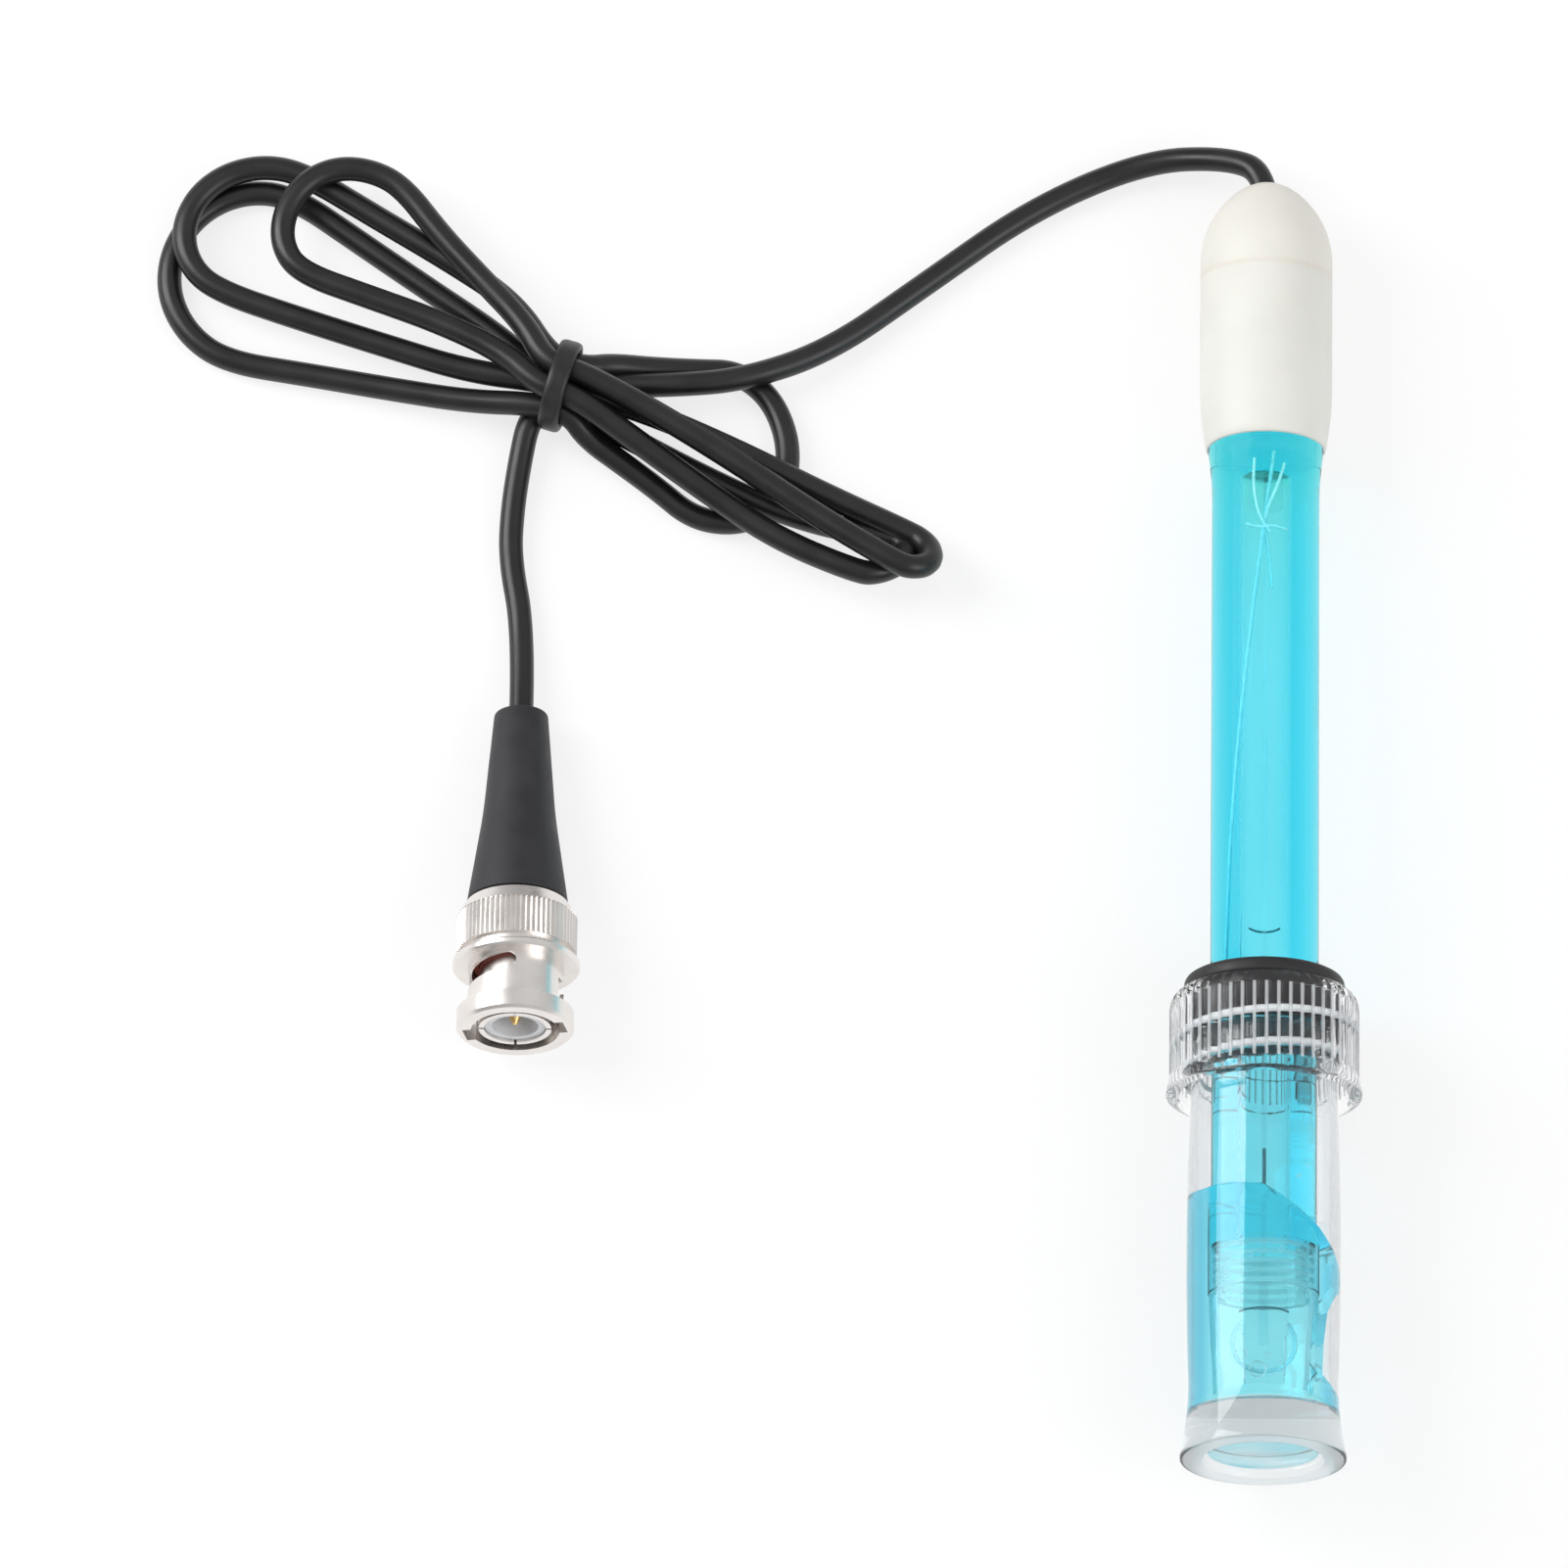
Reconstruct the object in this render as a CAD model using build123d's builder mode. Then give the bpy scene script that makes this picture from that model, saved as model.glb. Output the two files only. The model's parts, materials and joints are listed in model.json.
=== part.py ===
from build123d import *
from math import asin, atan, atan2, cos, hypot, pi, radians, sin, sqrt, tan
import os

os.makedirs("parts", exist_ok=True)

# pH electrode in its soaking bottle, lying on a bench, with its tied lead and bayonet plug.
# Millimetres, +Z up, bench at z = 0. The electrode lies along Y with its head towards +Y.
# The origin is on the bench under the middle of the electrode.
# Stations on the electrode are measured along its axis from the nose, and on the plug from its front face.

# Fits and clearances
glue_gap = 0.05
slide_gap = 0.05
turn_gap = 0.15
cable_gap = 0.15

# Cable and tie
cable_d = 2.75
bundle_d = 8.8
tie_width = 2.4
tie_thickness = 0.9

# Head moulding
head_d = 14.8
head_length = 31.6
nose_d = 4.2
dome_length = 9.2
head_taper_length = 7.8
head_edge_d = 13.4
nose_wall = 3.0
potting_top_d = 6.4
potting_depth = 7.0
stopper_gap = 3.0

# Body tube
shaft_d = 12.0
bore_d = 10.0
spigot_d = 11.2
collar_d = 12.9
collar_length = 4.4
shaft_length = 99.4
shaft_draft = 0.2
grip_gap = 1.7
stopper_reach = 1.4

# Tip guard screwed into the tube
guard_inset = 0.05
guard_tip_d = 10.4
guard_bore_d = 9.0
guard_length = 11.5
guard_band = 2.0
guard_floor = 1.2
guard_slot_width = 3.6
guard_slot_length = 7.2
guard_slots = 4
ridge_count = 5
ridge_pitch = 1.1
ridge_depth = 0.5
junction_d = 1.0
junction_circle_d = 7.6

# Glass stem with its bulb, and the wires
stem_d = 5.2
glass_wall = 0.6
bulb_d = 7.2
bulb_wall = 0.4
bulb_setback = 2.3
stem_drop = 1.8
stem_plug_length = 3.7
wire_d = 0.5
coated_wire_d = 1.0
coated_wire_length = 9.5
wire_setback = 3.6
reference_wire_d = 0.4
reference_wire_circle_d = 7.6
reference_wire_length = 59.0
reference_wire_turn = (78.0, 186.0)
reference_wire_runs = 4

# Soaking bottle, its cap and seal
seal_to_tip = 48.3
seal_flange_d = 17.8
seal_flange_height = 1.6
seal_waist_d = 15.2
seal_disc_d = 18.0
seal_disc_height = 3.7
seal_round = 0.9
cap_d = 20.9
cap_wall = 1.2
cap_top = 1.5
cap_play = 0.05
cap_height = 12.0
cap_shoulder = 1.9
lip_d = 21.7
lip_height = 1.6
lip_blend = 0.5
grip_ribs = 48
grip_groove_d = 1.0
grip_groove_depth = 0.3
neck_d = 16.2
neck_length = 7.6
thread_pitch = 4.0
thread_length = 4.4
thread_start = 1.4
thread_height = 0.8
thread_foot = 1.3
thread_crest = 0.6
bottle_bore_d = 14.2
belly_d = 17.0
waist_d = 16.5
waist_to_foot = 9.0
foot_d = 18.3
foot_height = 0.5
bottle_floor = 5.2
floor_round = 1.0
base_recess_d = 13.2
base_recess_depth = 0.9
tip_room = 2.1

# Plug
plug_x = -82.8
plug_front_y = -25.4
jack_bore_d = 9.8
rim_d = 13.0
rim_length = 2.2
rim_chamfer = 0.3
rim_flare = 0.5
nut_neck_d = 10.6
nut_neck_length = 4.8
ring_d = 14.1
ring_length = 0.9
ring_chamfer = 0.2
groove_d = 12.2
groove_length = 0.9
knurl_d = 13.4
knurl_length = 4.3
knurl_teeth = 70
knurl_depth = 0.25
nut_bevel = 1.6
nut_tail_d = 11.6
nut_back_wall = 3.4
slot_width = 2.0
slot_angle = 168.0
slot_turn = 92.0
slot_rise = 0.85
slot_start = 4.55
entry_depth = 0.8
entry_width = 2.6
boot_gap = 0.3
boot_front_d = 11.3
boot_middle_d = 8.0
boot_tail_d = 5.9
boot_length = 23.4
boot_middle = 11.5
boot_socket = 2.1
sleeve_d = 8.1
sleeve_wall = 0.6
sleeve_recess = 0.3
sleeve_depth = 7.9
sleeve_slit_width = 0.3
sleeve_slit_length = 3.6
flange_d = 9.5
flange_length = 1.4
shank_d = 8.4
draw_room = 1.3
washer_thickness = 0.6
gasket_thickness = 0.8
gasket_gap = 0.1
dielectric_recess = 0.3
dielectric_cup_d = 5.2
dielectric_cup_floor_d = 4.6
dielectric_cup_depth = 5.3
dielectric_stub_d = 3.2
dielectric_stub_length = 4.8
pin_d = 1.36
pin_recess = 0.3
pin_point = 0.8
pin_point_d = 0.5
ferrule_d = 5.8
ferrule_length = 8.5

# Routes of the two free leads on the bench, and the rounds that bound the tied hank between them
lead_straight = 1.9
lead_turn = (-4.6, 4.3, -2.0)
tail_straight = 11.0
arc_share = 0.45
lead_points = [
    (-13.5, 79.9, 1.9),
    (-26.1, 74.3, 1.4),
    (-38.2, 65.1, 1.4),
    (-48.8, 56.8, 1.4),
    (-58.3, 52.6, 1.6),
    (-65.8, 51.9, 2.0),
]
tail_points = [
    (-84.5, 51.2, 2.9),
    (-84.0, 44.7, 1.7),
    (-84.6, 35.9, 1.4),
]
tie_place = (-79.0, 51.2)
tie_angle = -16.0
hank_height = 5.6
hank_left_rounds = [(-113.1, 67.6, 11.6), (-101.7, 73.2, 5.8), (-108.2, 58.8, 7.4)]
hank_right_rounds = [(-40.3, 33.1, 4.8), (-59.9, 47.9, 8.4), (-62.4, 40.2, 5.4)]

# Sizes that follow from those above
cable_r = cable_d / 2
head_r = head_d / 2
nose_r = nose_d / 2
shaft_r = shaft_d / 2
lower_shaft_r = shaft_r - shaft_draft
guard_r = lower_shaft_r - guard_inset
bore_r = bore_d / 2
spigot_r = spigot_d / 2
stem_r = stem_d / 2
cap_r = cap_d / 2
lip_r = lip_d / 2
foot_r = foot_d / 2
knurl_r = knurl_d / 2
boot_tail_r = boot_tail_d / 2

tube_top = nose_wall + potting_depth
collar_end = head_length + collar_length
guard_joint = head_length + shaft_length
tip = guard_joint + guard_length
seal_face = tip - seal_to_tip
grip_end = seal_face - grip_gap
cap_face = seal_face + seal_flange_height
rim_face = cap_face + cap_top + seal_disc_height
cap_end = cap_face + cap_height
lip_start = cap_end - lip_height
bottle_floor_face = tip + tip_room
base = bottle_floor_face + bottle_floor

# The head's dome is an arc from the nose that runs smoothly into the head's cylinder.
# The electrode rests on the cap's lip and on that arc, which gives the tilt of its axis.
dome_r = (dome_length**2 + (head_r - nose_r) ** 2) / (2 * (head_r - nose_r))
rest_span = lip_start - dome_length
rest_rise = lip_r - head_r + dome_r
tilt = atan2(rest_rise, rest_span) - asin(dome_r / hypot(rest_rise, rest_span))
nose_z = lip_r * cos(tilt) - lip_start * sin(tilt)
nose_y = (base * cos(tilt) + (foot_r - nose_r) * sin(tilt)) / 2
nose = Vector(0, nose_y, nose_z)
along = Vector(0, -cos(tilt), sin(tilt))
electrode_axis = Axis(nose, along)
# In this section plane x is the radius and y the station
section = Plane(nose, x_dir=(1, 0, 0), z_dir=(0, -sin(tilt), -cos(tilt)))
# In this frame z is the station
frame = Plane(nose, x_dir=(1, 0, 0), z_dir=along)

# The plug rests on the back edge of its knurl and on the boot's tail, which lifts its front.
neck_start = rim_length + rim_flare
ring_start = neck_start + nut_neck_length
ring_end = ring_start + ring_length
knurl_start = ring_end + groove_length
knurl_end = knurl_start + knurl_length
nut_end = knurl_end + nut_bevel
boot_front = nut_end + boot_gap
boot_tail = boot_front + boot_length
plug_tilt = atan((knurl_r - boot_tail_r) / (boot_tail - knurl_end))
plug_front_z = knurl_r * cos(plug_tilt) + knurl_end * sin(plug_tilt)
plug_front = Vector(plug_x, plug_front_y, plug_front_z)
plug_back = Vector(0, cos(plug_tilt), -sin(plug_tilt))
plug_axis = Axis(plug_front, plug_back)
plug_section = Plane(plug_front, x_dir=(1, 0, 0), z_dir=(0, sin(plug_tilt), cos(plug_tilt)))
plug_frame = Plane(plug_front, x_dir=(1, 0, 0), z_dir=plug_back)
shoulder = nut_end - nut_back_wall
washer_face = shoulder - washer_thickness
flange_end = washer_face - draw_room
flange_start = flange_end - flange_length
sleeve_floor = sleeve_recess + sleeve_depth
shank_end = boot_front + boot_socket
ferrule_end = shank_end + ferrule_length


# Radii of a cord's arcs: each as large as its two runs allow
def cord_radii(points):
    runs = [b - a for a, b in zip(points, points[1:])]
    radii = []
    for before, after in zip(runs, runs[1:]):
        half_turn = radians(before.get_angle(after)) / 2
        radii.append(arc_share * min(before.length, after.length) / tan(half_turn))
    return radii


# Head moulding: a dome on a cylinder that draws in at its lower edge, hollow for the tube and the potting
socket_r = spigot_r + glue_gap
with BuildPart() as head_cap:
    with BuildSketch(section):
        with BuildLine():
            cable_hole_r = cable_r + cable_gap
            Line((cable_hole_r, 0), (nose_r, 0))
            TangentArc((head_r, dome_length), (nose_r, 0), tangent=(0, -1))
            Line((head_r, dome_length), (head_r, head_length - head_taper_length))
            TangentArc(
                (head_r, head_length - head_taper_length),
                (head_edge_d / 2, head_length),
                tangent=(0, 1),
            )
            Polyline(
                (head_edge_d / 2, head_length),
                (socket_r, head_length),
                (socket_r, tube_top),
                (potting_top_d / 2, nose_wall),
                (cable_hole_r, nose_wall),
                (cable_hole_r, 0),
            )
        make_face()
    revolve(axis=electrode_axis)
head_cap.part.label = "head_cap"
export_step(head_cap.part, "parts/head_cap.step")

# Potting that holds the cable's end under the nose and closes the head above the tube
with BuildPart() as head_potting:
    with BuildSketch(section):
        with BuildLine():
            Polyline(
                (0, nose_wall),
                (potting_top_d / 2 - glue_gap, nose_wall),
                (socket_r - glue_gap, tube_top),
                (0, tube_top),
                close=True,
            )
        make_face()
    revolve(axis=electrode_axis)
head_potting.part.label = "head_potting"
export_step(head_potting.part, "parts/head_potting.step")

# Body tube: a spigot in the head, a conical collar under it, and the shaft down to the guard
with BuildPart() as body_tube:
    with BuildSketch(section):
        with BuildLine():
            Polyline(
                (bore_r, tube_top),
                (spigot_r, tube_top),
                (spigot_r, head_length),
                (collar_d / 2, head_length),
                (shaft_r, collar_end),
                (shaft_r, grip_end),
                (lower_shaft_r, grip_end),
                (lower_shaft_r, guard_joint),
                (bore_r, guard_joint),
                close=True,
            )
        make_face()
    revolve(axis=electrode_axis)
body_tube.part.label = "body_tube"
export_step(body_tube.part, "parts/body_tube.step")

# Stopper that closes the top of the electrolyte room in the tube
stopper_start = tube_top + stopper_gap
stopper_end = head_length + stopper_reach
with BuildPart() as tube_stopper:
    with BuildSketch(frame.offset(stopper_start)):
        Circle(bore_r - glue_gap)
    extrude(amount=stopper_end - stopper_start)
tube_stopper.part.label = "tube_stopper"
export_step(tube_stopper.part, "parts/tube_stopper.step")

# Tip guard: a ridged spigot in the tube, a floor round the glass and slotted prongs past the bulb
spigot_start = guard_joint - ridge_count * ridge_pitch
spigot_in_r = bore_r - glue_gap
guard_room = guard_joint + guard_floor
guard_bore_r = guard_bore_d / 2
stem_hole_r = stem_r + glue_gap
ridges = []
for ridge in range(ridge_count):
    ridge_start = spigot_start + ridge * ridge_pitch
    ridges.append((spigot_in_r - ridge_depth, ridge_start))
    ridges.append((spigot_in_r, ridge_start + ridge_pitch / 2))
with BuildPart() as tip_guard:
    with BuildSketch(section):
        with BuildLine():
            Polyline(
                (stem_hole_r, spigot_start),
                *ridges,
                (spigot_in_r - ridge_depth, guard_joint),
                (guard_r, guard_joint),
                (guard_r, guard_joint + guard_band),
                (guard_tip_d / 2, tip),
                (guard_bore_r, tip),
                (guard_bore_r, guard_room),
                (stem_hole_r, guard_room),
                close=True,
            )
        make_face()
    revolve(axis=electrode_axis)
    slot_root = tip - guard_slot_length + guard_slot_width / 2
    for slot in range(guard_slots):
        prong_gap = frame.x_dir.rotate(electrode_axis, 360 / guard_slots * (slot + 0.5))
        with BuildSketch(Plane(nose, x_dir=along, z_dir=prong_gap)):
            with Locations((slot_root, 0)):
                Circle(guard_slot_width / 2)
            with Locations(((slot_root + tip + guard_slot_width) / 2, 0)):
                Rectangle(tip + guard_slot_width - slot_root, guard_slot_width)
        extrude(amount=2 * guard_r, mode=Mode.SUBTRACT)
    with BuildSketch(frame.offset(spigot_start)):
        with Locations((junction_circle_d / 2, 0)):
            Circle(junction_d / 2 + glue_gap)
    extrude(amount=guard_room - spigot_start, mode=Mode.SUBTRACT)
tip_guard.part.label = "tip_guard"
export_step(tip_guard.part, "parts/tip_guard.step")

# Porous rod that joins the electrolyte to the sample through the guard's floor
with BuildPart() as reference_junction:
    with BuildSketch(frame.offset(spigot_start)):
        with Locations((junction_circle_d / 2, 0)):
            Circle(junction_d / 2)
    extrude(amount=guard_room - spigot_start)
reference_junction.part.label = "reference_junction"
export_step(reference_junction.part, "parts/reference_junction.step")

# Glass stem blown into a bulb at its lower end
stem_top = stopper_end + stem_drop
bulb_r = bulb_d / 2
bulb_in_r = bulb_r - bulb_wall
stem_in_r = stem_r - glass_wall
bulb_centre = tip - bulb_setback - bulb_r
with BuildPart() as glass_electrode:
    with BuildSketch(section):
        with BuildLine():
            out_join = bulb_centre - sqrt(bulb_r**2 - stem_r**2)
            in_join = bulb_centre - sqrt(bulb_in_r**2 - stem_in_r**2)
            Polyline((stem_in_r, in_join), (stem_in_r, stem_top), (stem_r, stem_top), (stem_r, out_join))
            ThreePointArc((stem_r, out_join), (bulb_r, bulb_centre), (0, bulb_centre + bulb_r))
            Line((0, bulb_centre + bulb_r), (0, bulb_centre + bulb_in_r))
            ThreePointArc((0, bulb_centre + bulb_in_r), (bulb_in_r, bulb_centre), (stem_in_r, in_join))
        make_face()
    revolve(axis=electrode_axis)
glass_electrode.part.label = "glass_electrode"
export_step(glass_electrode.part, "parts/glass_electrode.step")

# Plug in the open end of the stem, with a hole for the wire
with BuildPart() as stem_plug:
    with BuildSketch(frame.offset(stem_top)):
        Circle(stem_in_r - glue_gap)
        Circle(wire_d / 2 + glue_gap, mode=Mode.SUBTRACT)
    extrude(amount=stem_plug_length)
stem_plug.part.label = "stem_plug"
export_step(stem_plug.part, "parts/stem_plug.step")

# Wire in the stem, with its coated end in the bulb
wire_end = tip - bulb_setback - wire_setback
coat_start = wire_end - coated_wire_length
with BuildPart() as inner_wire:
    with BuildSketch(frame.offset(stopper_end)):
        Circle(wire_d / 2)
    extrude(amount=coat_start - stopper_end)
    with BuildSketch(frame.offset(coat_start)):
        Circle(coated_wire_d / 2)
    extrude(amount=wire_end - coat_start)
inner_wire.part.label = "inner_wire"
export_step(inner_wire.part, "parts/inner_wire.step")

# Reference wire that winds a little way round the stem
with BuildPart() as reference_wire:
    wire_points = []
    for step in range(reference_wire_runs + 1):
        share = step / reference_wire_runs
        turn = radians(reference_wire_turn[0] + share * (reference_wire_turn[1] - reference_wire_turn[0]))
        round_x = reference_wire_circle_d / 2 * cos(turn)
        round_y = reference_wire_circle_d / 2 * sin(turn)
        wire_points.append(frame.from_local_coords(
            Vector(round_x, round_y, stopper_end + share * reference_wire_length)
        ))
    with BuildLine() as wire_path:
        FilletPolyline(*wire_points, radius=cord_radii(wire_points))
    with BuildSketch(Plane(wire_path.line @ 0, z_dir=wire_path.line % 0)):
        Circle(reference_wire_d / 2)
    sweep()
reference_wire.part.label = "reference_wire"
export_step(reference_wire.part, "parts/reference_wire.step")

# Rubber seal that grips the shaft: a flange over the cap, a waist through it and a disc inside
seal_bore_r = lower_shaft_r + slide_gap
disc_face = cap_face + cap_top
with BuildPart() as cap_seal:
    with BuildSketch(section):
        with BuildLine():
            Polyline(
                (seal_bore_r, seal_face),
                (seal_flange_d / 2 - seal_round, seal_face),
                (seal_flange_d / 2, seal_face + seal_round),
                (seal_flange_d / 2, cap_face),
                (seal_waist_d / 2, cap_face),
                (seal_waist_d / 2, disc_face),
                (seal_disc_d / 2, disc_face),
                (seal_disc_d / 2, rim_face),
                (seal_bore_r, rim_face),
                close=True,
            )
        make_face()
    revolve(axis=electrode_axis)
cap_seal.part.label = "cap_seal"
export_step(cap_seal.part, "parts/cap_seal.step")

# Clear cap: a rounded shoulder, a grip band and a plain lip at its open end
cap_bore_r = cap_r - cap_wall
plate_face = cap_face + cap_play
plate_under = disc_face - cap_play
with BuildPart() as bottle_cap:
    with BuildSketch(section):
        with BuildLine():
            hole_r = seal_waist_d / 2 + turn_gap
            Line((hole_r, plate_face), (cap_r - cap_shoulder, plate_face))
            TangentArc(
                (cap_r - cap_shoulder, plate_face),
                (cap_r, plate_face + cap_shoulder),
                tangent=(1, 0),
            )
            Polyline(
                (cap_r, plate_face + cap_shoulder),
                (cap_r, lip_start - lip_blend),
                (lip_r, lip_start),
                (lip_r, cap_end),
                (cap_bore_r, cap_end),
                (cap_bore_r, plate_under),
                (hole_r, plate_under),
                (hole_r, plate_face),
            )
        make_face()
    revolve(axis=electrode_axis)
    with BuildSketch(frame.offset(cap_face)):
        with PolarLocations(cap_r + grip_groove_d / 2 - grip_groove_depth, grip_ribs):
            Circle(grip_groove_d / 2)
    extrude(amount=lip_start - lip_blend - cap_face, mode=Mode.SUBTRACT)
bottle_cap.part.label = "bottle_cap"
export_step(bottle_cap.part, "parts/bottle_cap.step")

# Clear bottle: a neck in the cap, a slightly full belly, a flared foot and a thick recessed floor
neck_r = neck_d / 2
bottle_bore_r = bottle_bore_d / 2
neck_end = rim_face + neck_length
foot_start = base - foot_height
bottle_waist = base - waist_to_foot
belly = (neck_end + bottle_waist) / 2
with BuildPart() as bottle:
    with BuildSketch(section):
        with BuildLine():
            Polyline((bottle_bore_r, rim_face), (neck_r, rim_face), (neck_r, neck_end))
            ThreePointArc((neck_r, neck_end), (belly_d / 2, belly), (waist_d / 2, bottle_waist))
            TangentArc((waist_d / 2, bottle_waist), (foot_r, foot_start), tangent=(0, 1))
            Polyline(
                (foot_r, foot_start),
                (foot_r, base),
                (base_recess_d / 2, base),
                (base_recess_d / 2, base - base_recess_depth),
                (0, base - base_recess_depth),
                (0, bottle_floor_face),
                (bottle_bore_r - floor_round, bottle_floor_face),
            )
            TangentArc(
                (bottle_bore_r - floor_round, bottle_floor_face),
                (bottle_bore_r, bottle_floor_face - floor_round),
                tangent=(1, 0),
            )
            Line((bottle_bore_r, bottle_floor_face - floor_round), (bottle_bore_r, rim_face))
        make_face()
    revolve(axis=electrode_axis)
    thread_frame = frame.offset(rim_face + thread_start)
    with BuildLine() as thread_line:
        Helix(pitch=thread_pitch, height=thread_length, radius=neck_r)
    thread_path = thread_line.line.moved(Location(thread_frame))
    thread_first = thread_path @ 0
    thread_out = (thread_first - thread_frame.origin).normalized()
    with BuildSketch(Plane(thread_first, x_dir=thread_out, z_dir=thread_path % 0)):
        with BuildLine():
            Polyline(
                (-glue_gap, -thread_foot / 2),
                (thread_height, -thread_crest / 2),
                (thread_height, thread_crest / 2),
                (-glue_gap, thread_foot / 2),
                close=True,
            )
        make_face()
    sweep(path=thread_path, is_frenet=True)
bottle.part.label = "bottle"
export_step(bottle.part, "parts/bottle.step")

# Coupling nut: a rim, a neck with two helical bayonet slots, a plain ring and a grip band
jack_bore_r = jack_bore_d / 2
nut_back_bore_r = shank_d / 2 + turn_gap
with BuildPart() as coupling_nut:
    with BuildSketch(plug_section):
        with BuildLine():
            Polyline(
                (jack_bore_r, 0),
                (rim_d / 2 - rim_chamfer, 0),
                (rim_d / 2, rim_chamfer),
                (rim_d / 2, rim_length),
                (nut_neck_d / 2, neck_start),
                (nut_neck_d / 2, ring_start),
                (ring_d / 2 - ring_chamfer, ring_start),
                (ring_d / 2, ring_start + ring_chamfer),
                (ring_d / 2, ring_end - ring_chamfer),
                (ring_d / 2 - ring_chamfer, ring_end),
                (groove_d / 2, ring_end),
                (groove_d / 2, knurl_start),
                (knurl_r, knurl_start),
                (knurl_r, knurl_end),
                (nut_tail_d / 2, nut_end),
                (nut_back_bore_r, nut_end),
                (nut_back_bore_r, shoulder),
                (jack_bore_r, shoulder),
                close=True,
            )
        make_face()
    revolve(axis=plug_axis)
    slot_r = (jack_bore_r + nut_neck_d / 2) / 2
    slot_reach = nut_neck_d - jack_bore_d
    slot_end = slot_start + slot_width / 2 + slot_rise
    for turned in (slot_angle, slot_angle + 180):
        slot_side = plug_frame.x_dir.rotate(plug_axis, turned)
        slot_origin = plug_frame.offset(slot_start + slot_width / 2).origin
        slot_frame = Plane(slot_origin, x_dir=slot_side, z_dir=plug_back)
        with BuildLine() as slot_line:
            Helix(pitch=slot_rise * 360 / slot_turn, height=slot_rise, radius=slot_r)
        slot_path = slot_line.line.moved(Location(slot_frame))
        slot_first = slot_path @ 0
        slot_out = (slot_first - slot_frame.origin).normalized()
        with BuildSketch(Plane(slot_first, x_dir=slot_out, z_dir=slot_path % 0)):
            Rectangle(slot_reach, slot_width)
        sweep(path=slot_path, is_frenet=True, mode=Mode.SUBTRACT)
        slot_last = slot_path @ 1
        detent_out = (slot_last - plug_frame.offset(slot_end).origin).normalized()
        with BuildSketch(Plane(slot_last, x_dir=plug_back, z_dir=detent_out)):
            Circle(slot_width / 2)
        extrude(amount=slot_reach, both=True, mode=Mode.SUBTRACT)
        with BuildSketch(slot_frame.offset(-slot_start - slot_width / 2)):
            with Locations((jack_bore_r, 0)):
                Rectangle(2 * entry_depth, entry_width)
        extrude(amount=slot_start + slot_width / 2, mode=Mode.SUBTRACT)
    with BuildSketch(plug_frame.offset(knurl_start)):
        with PolarLocations(knurl_r, knurl_teeth):
            RegularPolygon(radius=knurl_depth, side_count=4)
    extrude(amount=knurl_length, mode=Mode.SUBTRACT)
coupling_nut.part.label = "coupling_nut"
export_step(coupling_nut.part, "parts/coupling_nut.step")

# Spring washer between the nut's shoulder and the body's flange
with BuildPart() as spring_washer:
    with BuildSketch(plug_frame.offset(washer_face)):
        Circle(jack_bore_r - glue_gap)
        Circle(shank_d / 2 + slide_gap, mode=Mode.SUBTRACT)
    extrude(amount=washer_thickness)
spring_washer.part.label = "spring_washer"
export_step(spring_washer.part, "parts/spring_washer.step")

# Plug body: a thin contact sleeve, a flange that the nut draws on, and a shank into the boot
sleeve_r = sleeve_d / 2
sleeve_in_r = sleeve_r - sleeve_wall
shank_r = shank_d / 2
stub_r = dielectric_stub_d / 2
stub_end = sleeve_floor + dielectric_stub_length
with BuildPart() as plug_body:
    with BuildSketch(plug_section):
        with BuildLine():
            Polyline(
                (sleeve_in_r, sleeve_recess),
                (sleeve_r, sleeve_recess),
                (sleeve_r, flange_start),
                (flange_d / 2, flange_start),
                (flange_d / 2, flange_end),
                (shank_r, flange_end),
                (shank_r, shank_end),
                (0, shank_end),
                (0, stub_end),
                (stub_r, stub_end),
                (stub_r, sleeve_floor),
                (sleeve_in_r, sleeve_floor),
                close=True,
            )
        make_face()
    revolve(axis=plug_axis)
    with BuildSketch(plug_frame.offset(sleeve_recess)):
        Rectangle(2 * flange_d, sleeve_slit_width)
        Rectangle(sleeve_slit_width, 2 * flange_d)
    extrude(amount=sleeve_slit_length, mode=Mode.SUBTRACT)
plug_body.part.label = "plug_body"
export_step(plug_body.part, "parts/plug_body.step")

# White cup that holds the centre pin inside the contact sleeve
dielectric_face = sleeve_recess + dielectric_recess
cup_floor = dielectric_face + dielectric_cup_depth
pin_r = pin_d / 2
with BuildPart() as plug_dielectric:
    with BuildSketch(plug_section):
        with BuildLine():
            Polyline(
                (dielectric_cup_d / 2, dielectric_face),
                (sleeve_in_r - glue_gap, dielectric_face),
                (sleeve_in_r - glue_gap, sleeve_floor),
                (stub_r - glue_gap, sleeve_floor),
                (stub_r - glue_gap, stub_end),
                (pin_r + glue_gap, stub_end),
                (pin_r + glue_gap, cup_floor),
                (dielectric_cup_floor_d / 2, cup_floor),
                close=True,
            )
        make_face()
    revolve(axis=plug_axis)
plug_dielectric.part.label = "plug_dielectric"
export_step(plug_dielectric.part, "parts/plug_dielectric.step")

# Centre pin with a short point
pin_tip = dielectric_face + pin_recess
with BuildPart() as center_pin:
    with BuildSketch(plug_section):
        with BuildLine():
            Polyline(
                (0, pin_tip),
                (pin_point_d / 2, pin_tip),
                (pin_r, pin_tip + pin_point),
                (pin_r, stub_end),
                (0, stub_end),
                close=True,
            )
        make_face()
    revolve(axis=plug_axis)
center_pin.part.label = "center_pin"
export_step(center_pin.part, "parts/center_pin.step")

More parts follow.
